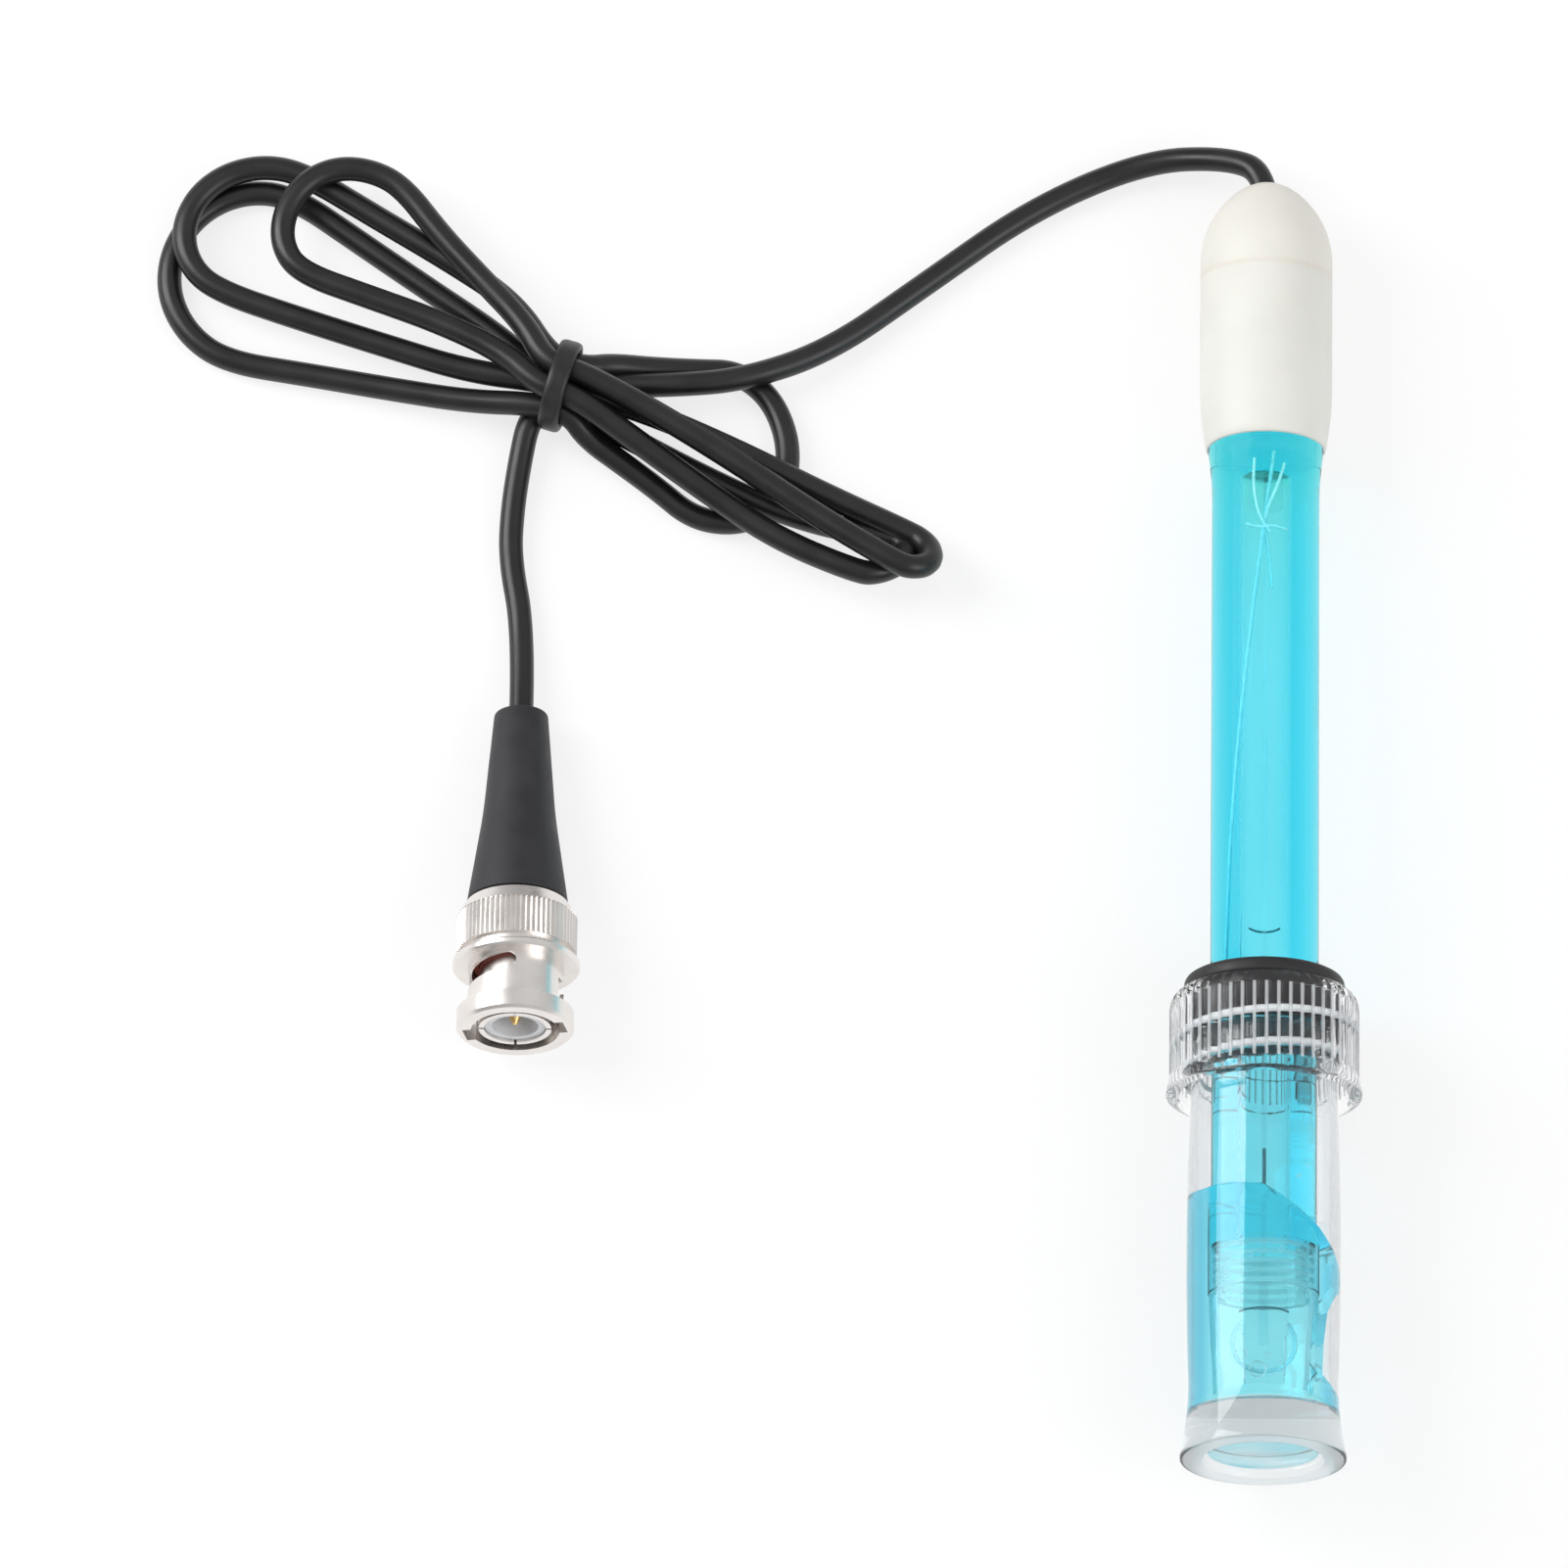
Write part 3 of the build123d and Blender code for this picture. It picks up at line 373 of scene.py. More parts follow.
# Geometry Nodes: relief on a turned piece, as ribs along it or as a thread round it
def reliefTree():
    tree = bpy.data.node_groups.new("turnedRelief", "GeometryNodeTree")
    face = tree.interface
    face.new_socket(name="Geometry", in_out="INPUT", socket_type="NodeSocketGeometry")
    for label in ("Count", "Turns per metre", "Height", "Crest", "Start", "End", "Fade", "Inner radius"):
        face.new_socket(name=label, in_out="INPUT", socket_type="NodeSocketFloat")
    face.new_socket(name="Finish", in_out="INPUT", socket_type="NodeSocketMaterial")
    face.new_socket(name="Geometry", in_out="OUTPUT", socket_type="NodeSocketGeometry")
    source = addNode(tree, "NodeGroupInput").outputs

    def calc(operation, *values):
        return maths(tree, operation, *values)

    def ramp(value, low, high):
        limits = {"Value": value, "From Min": low, "From Max": high}
        return addNode(tree, "ShaderNodeMapRange", limits, interpolation_type="SMOOTHSTEP").outputs["Result"]

    place = addNode(tree, "GeometryNodeInputPosition").outputs["Position"]
    split = addNode(tree, "ShaderNodeSeparateXYZ", {"Vector": place}).outputs
    angle = calc("DIVIDE", calc("ARCTAN2", split["Y"], split["X"]), 2 * pi)
    squares = calc("MULTIPLY", split["X"], split["X"]), calc("MULTIPLY", split["Y"], split["Y"])
    radius = calc("SQRT", calc("ADD", *squares))
    climb = calc("MULTIPLY", split["Z"], source["Turns per metre"])
    phase = calc("FRACT", calc("SUBTRACT", calc("MULTIPLY", angle, source["Count"]), climb))
    wave = calc("ABSOLUTE", calc("SUBTRACT", calc("MULTIPLY", phase, 2.0), 1.0))  # 1 at the crest, 0 between
    foot, top = (calc("SUBTRACT", 1.0, calc("MULTIPLY", source["Crest"], part)) for part in (2.0, 0.5))
    shape = ramp(wave, foot, top)
    fadeIn = ramp(split["Z"], source["Start"], calc("ADD", source["Start"], source["Fade"]))
    fadeOut = ramp(split["Z"], source["End"], calc("SUBTRACT", source["End"], source["Fade"]))
    inside = calc("MULTIPLY", fadeIn, fadeOut)
    outer = calc("GREATER_THAN", radius, source["Inner radius"])
    amount = calc("MULTIPLY", calc("MULTIPLY", shape, inside), calc("MULTIPLY", outer, source["Height"]))
    flat = addNode(tree, "ShaderNodeCombineXYZ", {"X": split["X"], "Y": split["Y"]}).outputs[0]
    out = addNode(tree, "ShaderNodeVectorMath", {0: flat}, operation="NORMALIZE").outputs[0]
    move = addNode(tree, "ShaderNodeVectorMath", {0: out, "Scale": amount}, operation="SCALE").outputs[0]
    moved = addNode(tree, "GeometryNodeSetPosition", {"Geometry": source["Geometry"], "Offset": move})
    endTree(tree, moved.outputs["Geometry"], source["Finish"])
    return tree


def throughTree(mesh, tree, values):
    holder = bpy.data.objects.new(mesh.name + "Holder", mesh)
    scene.collection.objects.link(holder)
    modifier = holder.modifiers.new("tree", "NODES")
    modifier.node_group = tree
    for item in tree.interface.items_tree:
        if item.in_out == "INPUT" and item.name in values:
            modifier[item.identifier] = values[item.name]
    shaped = bpy.data.meshes.new_from_object(holder.evaluated_get(bpy.context.evaluated_depsgraph_get()))
    shaped.name = mesh.name
    holder.modifiers.remove(modifier)
    bpy.data.objects.remove(holder)
    return shaped


turnedRelief = reliefTree()

# the lead: head lead, six tied loops and plug lead on one line, points in mm
lead = {
    "diameter": 2.75, "length": 0.71, "tie": (-79.0, 51.2, 5.35), "tieAngle": -16.0, "tieReach": 2.0, "strandGap": 1.02,
    "runSteps": 4, "tipSteps": 6, "smoothness": 10, "roundness": 5,
    "inHead": 3.0, "straight": 1.9, "turnOut": (-4.6, 4.3, -2.0), "inBoot": (49.9, 33.0, 17.6),
    "fromHead": [(-13.5, 79.9, 1.9), (-26.1, 74.3, 1.4), (-38.2, 65.1, 1.4),
                 (-48.8, 56.8, 2.2), (-58.3, 52.6, 4.2), (-65.8, 51.9, 4.0)],
    "toPlug": [(-80.2, 50.3, 2.9), (-82.5, 48.2, 2.4), (-83.4, 43.7, 1.7), (-84.2, 37.9, 1.4), (-84.4, 32.0, 1.4)],
}
# strand: place in the tie, 0 to 5 round it and 6 in the middle; the first strand is on the loop's left
loopKeys = ("strands", "angle", "reach", "tip", "fullness", "bow", "lean", "lie", "roll", "back")
loops = [dict(zip(loopKeys, row)) for row in (
    ((3, 5), 160.5, 47.2, 10.5, 0.84, -3.9, 2.4, 1.4, 0, True),
    ((0, 3), -16.2, 27.2, 9.0, 0.80, 0.6, -3.1, 1.4, 0, True),
    ((6, 0), 144.9, 46.8, 8.5, 0.53, 9.0, -3.6, 3.5, 0, True),
    ((6, 1), -15.0, 45.5, 3.2, 1.19, -15.0, 6.4, 5.6, -38, False),
    ((2, 1), 131.9, 37.0, 7.7, 1.27, 14.3, -8.5, 6.0, 0, True),
    ((4, 2), -29.8, 43.3, 3.2, 1.60, -7.4, 9.8, 4.0, -25, True),
)]
tiePlace = Vector(lead["tie"])
tieAhead = Vector((cos(radians(lead["tieAngle"])), sin(radians(lead["tieAngle"])), 0))
tieSide = Vector((-tieAhead.y, tieAhead.x, 0))
strandRing = lead["diameter"] * lead["strandGap"]
strandOffsets = []
for k in range(6):
    strandOffsets.append(tieSide * strandRing * cos(k * pi / 3) + Vector((0, 0, strandRing * sin(k * pi / 3))))
strandOffsets.append(Vector())


def tiePass(strand, side):
    return tiePlace + strandOffsets[strand] + tieAhead * side * lead["tieReach"]


def loopPoints(loop):
    ahead = Vector((cos(radians(loop["angle"])), sin(radians(loop["angle"])), 0))
    left, roll = Vector((-ahead.y, ahead.x, 0)), radians(loop["roll"])
    root, run = Vector((tiePlace.x, tiePlace.y, loop["lie"])), loop["reach"] - loop["tip"]
    rows = []  # along, across, share of the run, strand
    for k in range(1, lead["runSteps"]):
        share = k / lead["runSteps"]
        rows.append((run * share, loop["tip"] * share ** loop["fullness"], share, loop["strands"][0]))
    for k in range(lead["tipSteps"] + 1):
        angle, strand = pi / 2 - pi * k / lead["tipSteps"], loop["strands"][k > lead["tipSteps"] / 2]
        rows.append((run + loop["tip"] * cos(angle), loop["tip"] * sin(angle), 1.0, strand))
    for k in range(lead["runSteps"] - 1, 0, -1):
        share = k / lead["runSteps"]
        rows.append((run * share, -loop["tip"] * share ** loop["fullness"], share, loop["strands"][1]))
    points = []
    for along, across, share, strand in rows:
        part = along / loop["reach"]
        bend = loop["bow"] * part ** 2 + loop["lean"] * part ** 4
        tied = strandOffsets[strand] + Vector((0, 0, tiePlace.z - loop["lie"]))
        place = root + ahead * along + left * (across * cos(roll) + bend) + Vector((0, 0, across * sin(roll)))
        points.append(place + tied * (1 - share) ** 2)
    return points[::-1] if loop["back"] else points


leadPoints = [nose / mm + probeAxis * lead["inHead"], nose / mm - probeAxis * lead["straight"]]
leadPoints.append(nose / mm + Vector(lead["turnOut"]))
leadPoints += [Vector(p) for p in lead["fromHead"]]
side = 1  # the right of the tie
for loop in loops:
    entry = loop["strands"][1 if loop["back"] else 0]
    leadPoints += [tiePass(entry, side), tiePass(entry, -side)] + loopPoints(loop)
    side = -side
leadPoints.append(tiePass(loops[-1]["strands"][0], 1))
leadPoints += [Vector(p) for p in lead["toPlug"]]
leadPoints += [plugFront / mm + plugAxis * station for station in lead["inBoot"]]

leadCurve = bpy.data.curves.new("signalLead", "CURVE")
leadCurve.dimensions = "3D"
leadCurve.resolution_u = lead["smoothness"]
leadCurve.bevel_depth = lead["diameter"] / 2 * mm
leadCurve.bevel_resolution = lead["roundness"]
leadCurve.use_fill_caps = True
spline = leadCurve.splines.new("NURBS")
spline.points.add(len(leadPoints) - 1)
for point, place in zip(spline.points, leadPoints):
    point.co = (*(place * mm), 1.0)
spline.order_u = 3
spline.use_endpoint_u = True
leadCurve.materials.append(finishes["cableJacket"])
signalLead = bpy.data.objects.new("signalLead", leadCurve)
scene.collection.objects.link(signalLead)
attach(signalLead, "electrode")
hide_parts("cable_head_lead", "cable_hank", "cable_plug_lead")
print("lead:", len(leadPoints), "points,", len(loops), "loops")

# floor and light
stage = {
    "floorSize": 4.0, "floorDrop": -2e-5, "floorLift": 0.76, "shade": 0.24, "through": 0.98,
    "plain": 0.82, "skyHigh": 0.62, "skyLow": 0.40, "skyRise": 0.9, "skyLeft": 0.70, "skyRight": 1.35, "skySide": 0.8,
}
lamps = {
    "keyLamp": {"place": (-0.58, 0.18, 0.42), "aim": (0.0, -0.03, 0.0), "size": (0.34, 0.58), "power": 3.6},
    "fillLamp": {"place": (0.45, -0.25, 0.50), "aim": (-0.03, 0.0, 0.0), "size": (0.4, 0.4), "power": 1.3},
}
floorFinish, tree, output = newFinish("paleFloor")
path = addNode(tree, "ShaderNodeLightPath").outputs
seen = maths(tree, "MAXIMUM", path["Is Camera Ray"], path["Is Glossy Ray"])
plainFloor = addNode(tree, "ShaderNodeBsdfDiffuse", {"Color": (stage["plain"],) * 3 + (1.0,)})
shadeFloor = addNode(tree, "ShaderNodeBsdfDiffuse", {"Color": (stage["shade"],) * 3 + (1.0,)})
glowFloor = addNode(tree, "ShaderNodeEmission", {"Color": white, "Strength": stage["floorLift"]})
throughFloor = addNode(tree, "ShaderNodeEmission", {"Color": white, "Strength": stage["through"]})
shownFloor = addNode(tree, "ShaderNodeAddShader", {0: shadeFloor.outputs[0], 1: glowFloor.outputs[0]})
mixFloor = addNode(tree, "ShaderNodeMixShader", {0: seen, 1: plainFloor.outputs[0], 2: shownFloor.outputs[0]})
mixFloor = addNode(tree, "ShaderNodeMixShader", {
    0: path["Is Transmission Ray"], 1: mixFloor.outputs[0], 2: throughFloor.outputs[0]})
tree.links.new(mixFloor.outputs[0], output.inputs["Surface"])
half, drop = stage["floorSize"] / 2, stage["floorDrop"]
floorMesh = bpy.data.meshes.new("paleFloor")
corners = [(-half, -half, drop), (half, -half, drop), (half, half, drop), (-half, half, drop)]
floorMesh.from_pydata(corners, [], [(0, 1, 2, 3)])
floorMesh.materials.append(floorFinish)
paleFloor = bpy.data.objects.new("paleFloor", floorMesh)
scene.collection.objects.link(paleFloor)

world = bpy.data.worlds.new("softStudio")
world.use_nodes = True
tree = world.node_tree
tree.nodes.clear()
path = addNode(tree, "ShaderNodeLightPath").outputs
aim = addNode(tree, "ShaderNodeTexCoord").outputs["Generated"]
aim = addNode(tree, "ShaderNodeSeparateXYZ", {"Vector": aim}).outputs
sky = mapped(tree, aim["Z"], 0.0, stage["skyRise"], stage["skyLow"], stage["skyHigh"])
across = mapped(tree, aim["X"], -stage["skySide"], stage["skySide"], stage["skyLeft"], stage["skyRight"])
sky = maths(tree, "MULTIPLY", sky, across)
around = addNode(tree, "ShaderNodeBackground", {"Color": white, "Strength": sky})
behind = addNode(tree, "ShaderNodeBackground", {"Color": white, "Strength": 1.0})
clearView = maths(tree, "MAXIMUM", path["Is Camera Ray"], path["Is Transmission Ray"])
mixWorld = addNode(tree, "ShaderNodeMixShader", {0: clearView, 1: around.outputs[0], 2: behind.outputs[0]})
addNode(tree, "ShaderNodeOutputWorld", {"Surface": mixWorld.outputs[0]})
scene.world = world

for name, values in lamps.items():
    lamp = bpy.data.lights.new(name, "AREA")
    lamp.shape = "RECTANGLE"
    lamp.size, lamp.size_y = values["size"]
    lamp.energy = values["power"]
    lampObject = bpy.data.objects.new(name, lamp)
    lampObject.location = values["place"]
    beam = Vector(values["aim"]) - Vector(values["place"])
    lampObject.rotation_euler = beam.to_track_quat("-Z", "Y").to_euler()
    scene.collection.objects.link(lampObject)
print("stage and light set")

# head: domed moulding with its parting line, drawn in at the lower edge
head = {
    "nose": 2.1, "domeLength": 9.2, "domeSteps": 14, "radius": 7.4, "length": 31.6, "edge": 6.7, "rounding": 0.15,
    "taperStart": 23.8, "taperSteps": 10, "cableHole": 1.5, "holeDepth": 0.6, "seamStation": 11.2, "seamDepth": 0.03,
}
domeRise = head["radius"] - head["nose"]
domeRadius = (head["domeLength"] ** 2 + domeRise ** 2) / (2 * domeRise)
rows = [(head["holeDepth"], 0.0), (head["holeDepth"], head["cableHole"])]
rows += [(0.0, head["cableHole"] + 0.25), (0.0, head["nose"] - 0.2)]
for k in range(1, head["domeSteps"] + 1):
    station = head["domeLength"] * k / head["domeSteps"]
    rows.append((station, head["radius"] - domeRadius + sqrt(domeRadius ** 2 - (head["domeLength"] - station) ** 2)))
for offset, depth in ((0.0, 0), (0.08, 1), (0.16, 1), (0.24, 0)):  # a fine groove
    rows.append((head["seamStation"] + offset, head["radius"] - depth * head["seamDepth"]))
rows.append((head["taperStart"], head["radius"]))
taper = head["length"] - head["rounding"] - head["taperStart"]
for k in range(1, head["taperSteps"] + 1):
    share = k / head["taperSteps"]
    rows.append((head["taperStart"] + taper * share, head["radius"] - (head["radius"] - head["edge"]) * share ** 2))
rows += [(head["length"], head["edge"] - head["rounding"]), (head["length"], 0.0)]
addPiece("headMoulding", turnedMesh("headMoulding", rows, 128), "headPlastic",
         "electrode", ["head_cap"], probeFrame, 50)

# body tube with its electrolyte: one clear blue rod round the glass stem
tube = {
    "top": 31.65, "collar": 6.45, "collarEnd": 36.0, "radius": 6.0, "gripEnd": 92.5, "gripStep": 0.6, "lower": 5.8,
    "end": 131.0, "boreTop": 125.6, "bore": 5.45, "roomTop": 34.8, "room": 2.6, "roomBevel": (0.4, 0.5),
}
along, inward = tube["roomBevel"]
rows = [(tube["top"], 0.0), (tube["top"], tube["collar"]), (tube["collarEnd"], tube["radius"], 1.5),
        (tube["gripEnd"], tube["radius"], 0.4), (tube["gripEnd"] + tube["gripStep"], tube["lower"], 0.4),
        (tube["end"], tube["lower"], 0.1), (tube["end"], tube["bore"]),
        (tube["boreTop"], tube["bore"]), (tube["boreTop"], tube["room"]),
        (tube["roomTop"] + along, tube["room"]), (tube["roomTop"], tube["room"] - inward), (tube["roomTop"], 0.0)]
addPiece("bodyTube", turnedMesh("bodyTube", softCorners(rows), 128), "blueTube",
         "electrode", ["body_tube"], probeFrame)

# rubber seal in the cap's top
seal = {
    "face": 94.2, "capFace": 95.8, "discFace": 97.3, "end": 101.0,
    "bore": 5.85, "flange": 8.9, "waist": 7.6, "disc": 9.0,
}
rows = [(seal["face"], seal["bore"]), (seal["face"], seal["flange"], 0.9),
        (seal["capFace"], seal["flange"], 0.25), (seal["capFace"], seal["waist"]),
        (seal["discFace"], seal["waist"]), (seal["discFace"], seal["disc"], 0.2),
        (seal["end"], seal["disc"], 0.2), (seal["end"], seal["bore"])]
addPiece("rubberSeal", turnedMesh("rubberSeal", softCorners(rows), 128, closed=True), "sealRubber",
         "seal", ["cap_seal"], probeFrame, 30)

# clear cap with grip ribs and a plain lip
cap = {
    "face": 95.8, "hole": 7.68, "shoulder": 1.9, "shoulderSteps": 8, "radius": 10.45, "bore": 9.25, "inside": 97.3,
    "wallSteps": 8, "wallStep": 0.9, "end": 107.8,
    "lipStart": 106.2, "lip": 10.85, "slopeBefore": 0.6, "slopeAfter": 1.0,
    "ribs": 48, "ribFacets": 8, "groove": 0.34, "ribCrest": 0.32, "ribStart": 0.1, "ribEnd": 0.3, "ribFade": 0.5,
    "ribFloor": 9.3, "barSides": 10, "barRadius": 0.2, "barSink": 0.16,
}
rows = [(cap["face"], cap["hole"])]
for k in range(cap["shoulderSteps"] + 1):
    angle = pi / 2 * k / cap["shoulderSteps"]
    station = cap["face"] + cap["shoulder"] * (1 - cos(angle))
    rows.append((station, cap["radius"] - cap["shoulder"] + cap["shoulder"] * sin(angle)))
for k in range(1, cap["wallSteps"] + 1):
    rows.append((cap["face"] + cap["shoulder"] + k * cap["wallStep"], cap["radius"]))
rows += [(cap["lipStart"] - cap["slopeBefore"], cap["radius"], 0.5),
         (cap["lipStart"] + cap["slopeAfter"], cap["lip"], 0.4), (cap["end"], cap["lip"], 0.4),
         (cap["end"], cap["bore"], 0.25), (cap["inside"], cap["bore"], 0.3), (cap["inside"], cap["hole"])]
capMesh = turnedMesh("screwCap", softCorners(rows), cap["ribs"] * cap["ribFacets"], closed=True)
capMesh = throughTree(capMesh, turnedRelief, {
    "Count": float(cap["ribs"]), "Turns per metre": 0.0, "Height": -cap["groove"] * mm, "Crest": cap["ribCrest"],
    "Start": (cap["face"] + cap["ribStart"]) * mm, "End": (cap["lipStart"] - cap["ribEnd"]) * mm,
    "Fade": cap["ribFade"] * mm, "Inner radius": cap["ribFloor"] * mm, "Finish": finishes["clearCap"]})
addPiece("screwCap", capMesh, "clearCap", "cap", ["bottle_cap"], probeFrame)


# the ribs' crests: slim bars set round the cap by Geometry Nodes, glossy, with a pale haze that is a painted highlight
# along each crest
def ringTree():
    tree = bpy.data.node_groups.new("ringOfBars", "GeometryNodeTree")
    face = tree.interface
    face.new_socket(name="Geometry", in_out="INPUT", socket_type="NodeSocketGeometry")
    for label in ("Count", "Bar sides"):
        face.new_socket(name=label, in_out="INPUT", socket_type="NodeSocketInt")
    for label in ("Ring radius", "Bar radius", "Bar length", "Station"):
        face.new_socket(name=label, in_out="INPUT", socket_type="NodeSocketFloat")
    face.new_socket(name="Finish", in_out="INPUT", socket_type="NodeSocketMaterial")
    face.new_socket(name="Geometry", in_out="OUTPUT", socket_type="NodeSocketGeometry")
    source = addNode(tree, "NodeGroupInput").outputs
    ring = addNode(tree, "GeometryNodeMeshCircle", {"Vertices": source["Count"], "Radius": source["Ring radius"]})
    lift = addNode(tree, "ShaderNodeCombineXYZ", {"Z": source["Station"]})
    placed = addNode(tree, "GeometryNodeSetPosition", {"Geometry": ring.outputs["Mesh"], "Offset": lift.outputs[0]})
    bar = addNode(tree, "GeometryNodeMeshCylinder", {
        "Vertices": source["Bar sides"], "Radius": source["Bar radius"], "Depth": source["Bar length"]})
    bars = addNode(tree, "GeometryNodeInstanceOnPoints", {
        "Points": placed.outputs["Geometry"], "Instance": bar.outputs["Mesh"]})
    endTree(tree, bars.outputs["Instances"], source["Finish"])
    return tree


ribMesh = throughTree(bpy.data.meshes.new("gripRibGlints"), ringTree(), {
    "Count": cap["ribs"], "Ring radius": (cap["radius"] - cap["barSink"]) * mm, "Bar sides": cap["barSides"],
    "Bar radius": cap["barRadius"] * mm, "Bar length": (cap["lipStart"] - cap["face"] - cap["shoulder"]) * mm,
    "Station": (cap["lipStart"] + cap["face"] + cap["shoulder"]) / 2 * mm, "Finish": finishes["ribCrestGlint"]})
addPiece("gripRibGlints", ribMesh, "ribCrestGlint", "cap", (), probeFrame)

# clear bottle with its neck thread, full belly, flared foot and thick recessed floor
bottle = {
    "rim": 101.0, "neck": 8.1, "neckSteps": 50, "neckStep": 0.15, "neckEnd": 108.6,
    "belly": 8.5, "bellySteps": 24, "fullness": 0.8, "waist": 8.25, "waistStation": 140.8,
    "foot": 9.15, "footStart": 149.3, "footSteps": 10, "base": 149.8,
    "recess": 6.6, "recessDepth": 0.9, "recessDraft": 0.2, "floor": 144.6, "bore": 7.3,
    "threadPitch": 4.0, "threadHeight": 0.8, "threadCrest": 0.16, "threadStart": 101.9, "threadEnd": 107.6,
    "threadFade": 0.4, "threadFloor": 7.6,
    "tintDepth": 0.15, "tintMargin": 0.5, "frostDepth": 0.1, "frostMargins": (0.1, 0.3),
}
rows = [(bottle["rim"], bottle["bore"]), (bottle["rim"], bottle["neck"])]
rows += [(bottle["rim"] + bottle["neckStep"] * k, bottle["neck"]) for k in range(1, bottle["neckSteps"] + 1)]
bulge = bottle["belly"] - (bottle["neck"] + bottle["waist"]) / 2
for k in range(bottle["bellySteps"] + 1):
    share = k / bottle["bellySteps"]
    station = bottle["neckEnd"] + (bottle["waistStation"] - bottle["neckEnd"]) * share
    plain = bottle["neck"] + (bottle["waist"] - bottle["neck"]) * share
    rows.append((station, plain + bulge * sin(pi * share) ** bottle["fullness"]))
for k in range(1, bottle["footSteps"] + 1):
    share = k / bottle["footSteps"]
    station = bottle["waistStation"] + (bottle["footStart"] - bottle["waistStation"]) * share
    rows.append((station, bottle["waist"] + (bottle["foot"] - bottle["waist"]) * share ** 2))
recessTop = bottle["base"] - bottle["recessDepth"]
rows += [(bottle["base"], bottle["foot"], 0.35), (bottle["base"], bottle["recess"], 0.3),
         (recessTop, bottle["recess"] - bottle["recessDraft"], 0.5), (recessTop, 0.0)]
outside = softCorners(rows)
inside = softCorners([(bottle["floor"], 0.0), (bottle["floor"], bottle["bore"], 1.2), (bottle["rim"], bottle["bore"])])
bottleMesh = throughTree(turnedMesh("soakBottle", outside + inside, 144), turnedRelief, {
    "Count": 1.0, "Turns per metre": 1.0 / (bottle["threadPitch"] * mm), "Height": bottle["threadHeight"] * mm,
    "Crest": bottle["threadCrest"], "Start": bottle["threadStart"] * mm, "End": bottle["threadEnd"] * mm,
    "Fade": bottle["threadFade"] * mm, "Inner radius": bottle["threadFloor"] * mm, "Finish": finishes["clearBottle"]})
addPiece("soakBottle", bottleMesh, "clearBottle", "bottle", ["bottle"], probeFrame)
print("head, tube, seal, cap and bottle set")

# soaking liquid, held round the tip by the narrow gap
# rows of station, right edge and left edge in degrees, radius
liquid = {
    "rows": [(119.6, 170, 240, 7.9), (120.0, 120, 300, 7.9), (120.4, 92, 300, 7.9), (121.4, 80, 300, 7.9),
             (123.0, 61, 300, 7.9), (124.7, 42, 300, 7.9), (126.4, 24, 302, 7.9), (127.9, 10, 305, 7.9),
             (129.3, 4, 308, 7.9), (130.6, 10, 306, 7.9), (132.0, 22, 302, 7.9), (134.0, 32, 300, 7.9),
             (138.0, 37, 300, 7.9), (141.4, 38, 300, 7.9), (142.2, 24, 308, 7.9), (142.8, -20, 325, 7.88),
             (143.0, -28, 328, 7.85), (143.6, -30, 329, 7.7), (144.2, -30, 329, 7.3), (144.5, -30, 329, 6.6)],
    "columns": 72,
}
points, faces = [], []
columns = liquid["columns"] + 1
for station, right, left, radius in liquid["rows"]:
    for k in range(columns):
        angle = radians(right + (left - right) * k / liquid["columns"])
        points.append((radius * cos(angle) * mm, radius * sin(angle) * mm, station * mm))
for i in range(len(liquid["rows"]) - 1):
    a, b = columns * i, columns * (i + 1)
    for k in range(columns):
        n = (k + 1) % columns
        faces.append((a + k, a + n, b + n, b + k))
for start in (0, columns * (len(liquid["rows"]) - 1)):
    faces.append(tuple(range(start, start + columns)))
liquidMesh = bpy.data.meshes.new("soakLiquid")
liquidMesh.from_pydata(points, [], faces)
addPiece("soakLiquid", cleanMesh(liquidMesh), "soakLiquid", "bottle", (), probeFrame, 50)

# a cyan sheet inside the base: the liquid's colour in the recess, a painted refraction
tintStation = recessTop - bottle["tintDepth"]
rows = [(tintStation, 0.0), (tintStation, bottle["recess"] - bottle["tintMargin"])]
addPiece("recessRefractionTint", turnedMesh("recessRefractionTint", rows, 96), "recessRefractionTint", "bottle", (), probeFrame)

# frosted ring that the bottle stands on
frostStation, (inner, outer) = bottle["base"] - bottle["frostDepth"], bottle["frostMargins"]
rows = [(frostStation, bottle["recess"] + inner), (frostStation, bottle["foot"] - outer)]
addPiece("footFrost", turnedMesh("footFrost", rows, 96), "footFrost", "bottle", (), probeFrame)

# glass stem and its bulb: outer skins only, so that light is not lost in many layers
stem = {
    "top": 34.8, "radius": 2.55, "joint": 133.6,
    "bulb": 3.55, "bulbCentre": 136.6, "bulbOpening": 46, "bulbSteps": 20,
}
rows = [(stem["top"], 0.0), (stem["top"], stem["radius"], 0.5), (stem["joint"], stem["radius"])]
stemMesh = turnedMesh("glassStem", softCorners(rows), 64)
rows = []
for k in range(stem["bulbSteps"] + 1):
    angle = radians(stem["bulbOpening"] + (180 - stem["bulbOpening"]) * k / stem["bulbSteps"])
    rows.append((stem["bulbCentre"] - stem["bulb"] * cos(angle), stem["bulb"] * sin(angle)))
addPiece("glassStem", stemMesh, "electrodeGlass", "electrode", ["glass_electrode"], probeFrame)
bulbMesh = turnedMesh("sensingBulb", rows, 64)
addPiece("sensingBulb", bulbMesh, "bulbGlass", "electrode", (), probeFrame)

